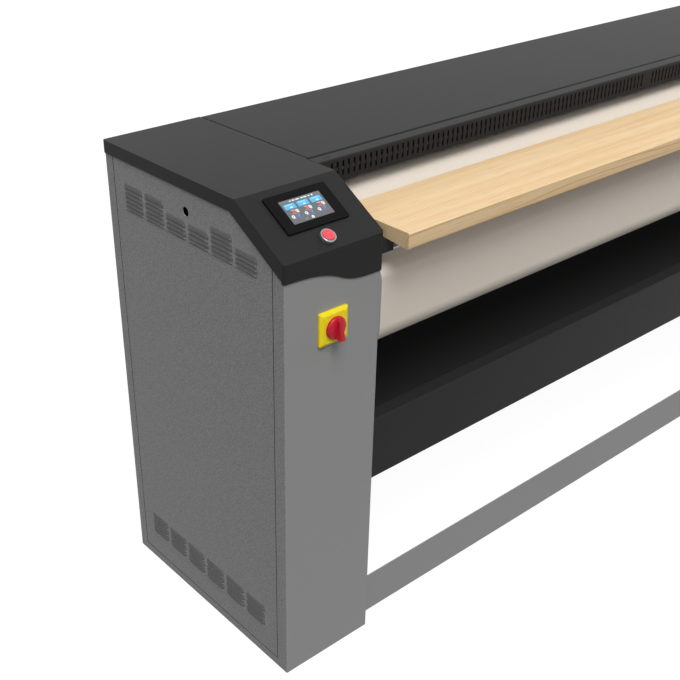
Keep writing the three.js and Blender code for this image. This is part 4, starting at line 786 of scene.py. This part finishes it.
# The display shows generic tiles, bars and marks: their places are shares of the glass, from its upper
# left corner, and their sizes are in millimetres.
display = {
    "u": 78.6, "v": 75.0, "width": 102.0, "height": 58.0, "low": 3.8, "high": 4.7, "step": 0.5,
    "edgeBlur": 0.5, "ground": "#62666a", "tileLeft": (0.18, 0.50, 0.82), "tileTop": 0.275,
    "titleMarks": ((0.26, 5), (0.34, 7), (0.44, 9), (0.55, 6), (0.63, 8), (0.72, 4)),
}


def displayPicture(s, t):
    # colour at each point; a shape covers where its signed distance (in millimetres) is below zero
    width, height = display["width"], display["height"]
    colour = np.empty(s.shape + (3,))
    colour[:] = toLinear(display["ground"])[:3]

    def cover(distance, hexColour):
        share = np.clip(0.5 - distance / display["edgeBlur"], 0, 1)[..., None]
        colour[:] = colour * (1 - share) + np.array(toLinear(hexColour)[:3]) * share

    def box(middleS, middleT, wide, high, corner=0.6):
        dx = np.abs((s - middleS) * width) - wide / 2 + corner
        dy = np.abs((t - middleT) * height) - high / 2 + corner
        return np.hypot(np.maximum(dx, 0), np.maximum(dy, 0)) + np.minimum(np.maximum(dx, dy), 0) - corner

    def disc(middleS, middleT, radius):
        return np.hypot((s - middleS) * width, (t - middleT) * height) - radius

    cover(box(0.5, 0.06, 101, 7), "#6d7175")
    for markS, wide in display["titleMarks"]:
        cover(box(markS, 0.075, wide, 2.2), "#f2f4f4")
    cover(disc(0.80, 0.075, 2.0), "#f6f8f4")
    tileTop = display["tileTop"]
    for left in display["tileLeft"]:
        cover(box(left, tileTop, 27, 12.5, 1.0), "#55b6ea")
        cover(box(left - 0.01, tileTop - 0.06, 18, 2.2), "#a4dcf6")
        cover(box(left + 0.02, tileTop + 0.05, 6, 2.8), "#f2fafd")
        cover(box(left + 0.005, 0.52, 3.6, 12), "#e8603a")
        cover(box(left + 0.02, 0.70, 3.4, 8), "#3f78dc")
        cover(box(left + 0.005, 0.445, 11, 1.0), "#c9cdcf")
        cover(box(left + 0.06, 0.66, 1.0, 10), "#b4b9bc")
        for side, level in ((-0.085, 0.70), (0.085, 0.50)):
            cover(disc(left + side, level, 3.6), "#f2f3f3")
            cover(box(left + side, level - 0.005, 2.0, 3.4), "#5d6165")
            cover(box(left + side + 0.012, level + 0.075, 5.0, 1.2), "#dfe2e3")
        cover(box(left + 0.05, 0.80, 13, 1.2), "#4f7fae")
        cover(box(left - 0.05, 0.585, 4.4, 1.4), "#8fb6d8")
    cover(disc(0.49, 0.91, 3.2), "#f6f7f7")
    cover(disc(0.49, 0.91, 1.2), "#5d6165")
    cover(box(0.34, 0.91, 7, 1.4), "#7fae9d")
    cover(box(0.90, 0.88, 7, 3.6, 0.8), "#b03a3c")
    return colour


def displayPiece():
    # front face is a grid over the screen; the side and rear are its edge carried back
    columns = int(display["width"] / display["step"]) + 1
    rows = int(display["height"] / display["step"]) + 1
    s, t = np.meshgrid(np.linspace(0, 1, columns), np.linspace(0, 1, rows))
    u, v = display["u"] + s * display["width"], display["v"] + (1 - t) * display["height"]
    front = onSlope(u, v, display["high"]).reshape(-1, 3)
    edge = gridEdge(rows, columns)
    rear = onSlope(u.ravel()[edge], v.ravel()[edge], display["low"])
    rearIndex = len(front) + np.arange(len(edge))
    sides = np.stack([edge, np.roll(edge, -1), np.roll(rearIndex, -1), rearIndex], axis=-1)
    quads = np.concatenate([gridQuads(rows, columns)[:, [0, 3, 2, 1]], sides])
    piece = newPiece("display_glass", np.vstack([front, rear]), quads, finishes["screen"], "frame",
                     caps=(rearIndex,))
    picture = displayPicture(s, t).reshape(-1, 3)
    colours = np.ones((len(front) + len(rear), 4), np.float32)
    colours[:, :3] = np.vstack([picture, picture[edge]])
    layer = piece.data.color_attributes.new("picture", "FLOAT_COLOR", "POINT")
    layer.data.foreach_set("color", colours.ravel())
    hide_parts("touch_screen")


displayPiece()
print("display made")
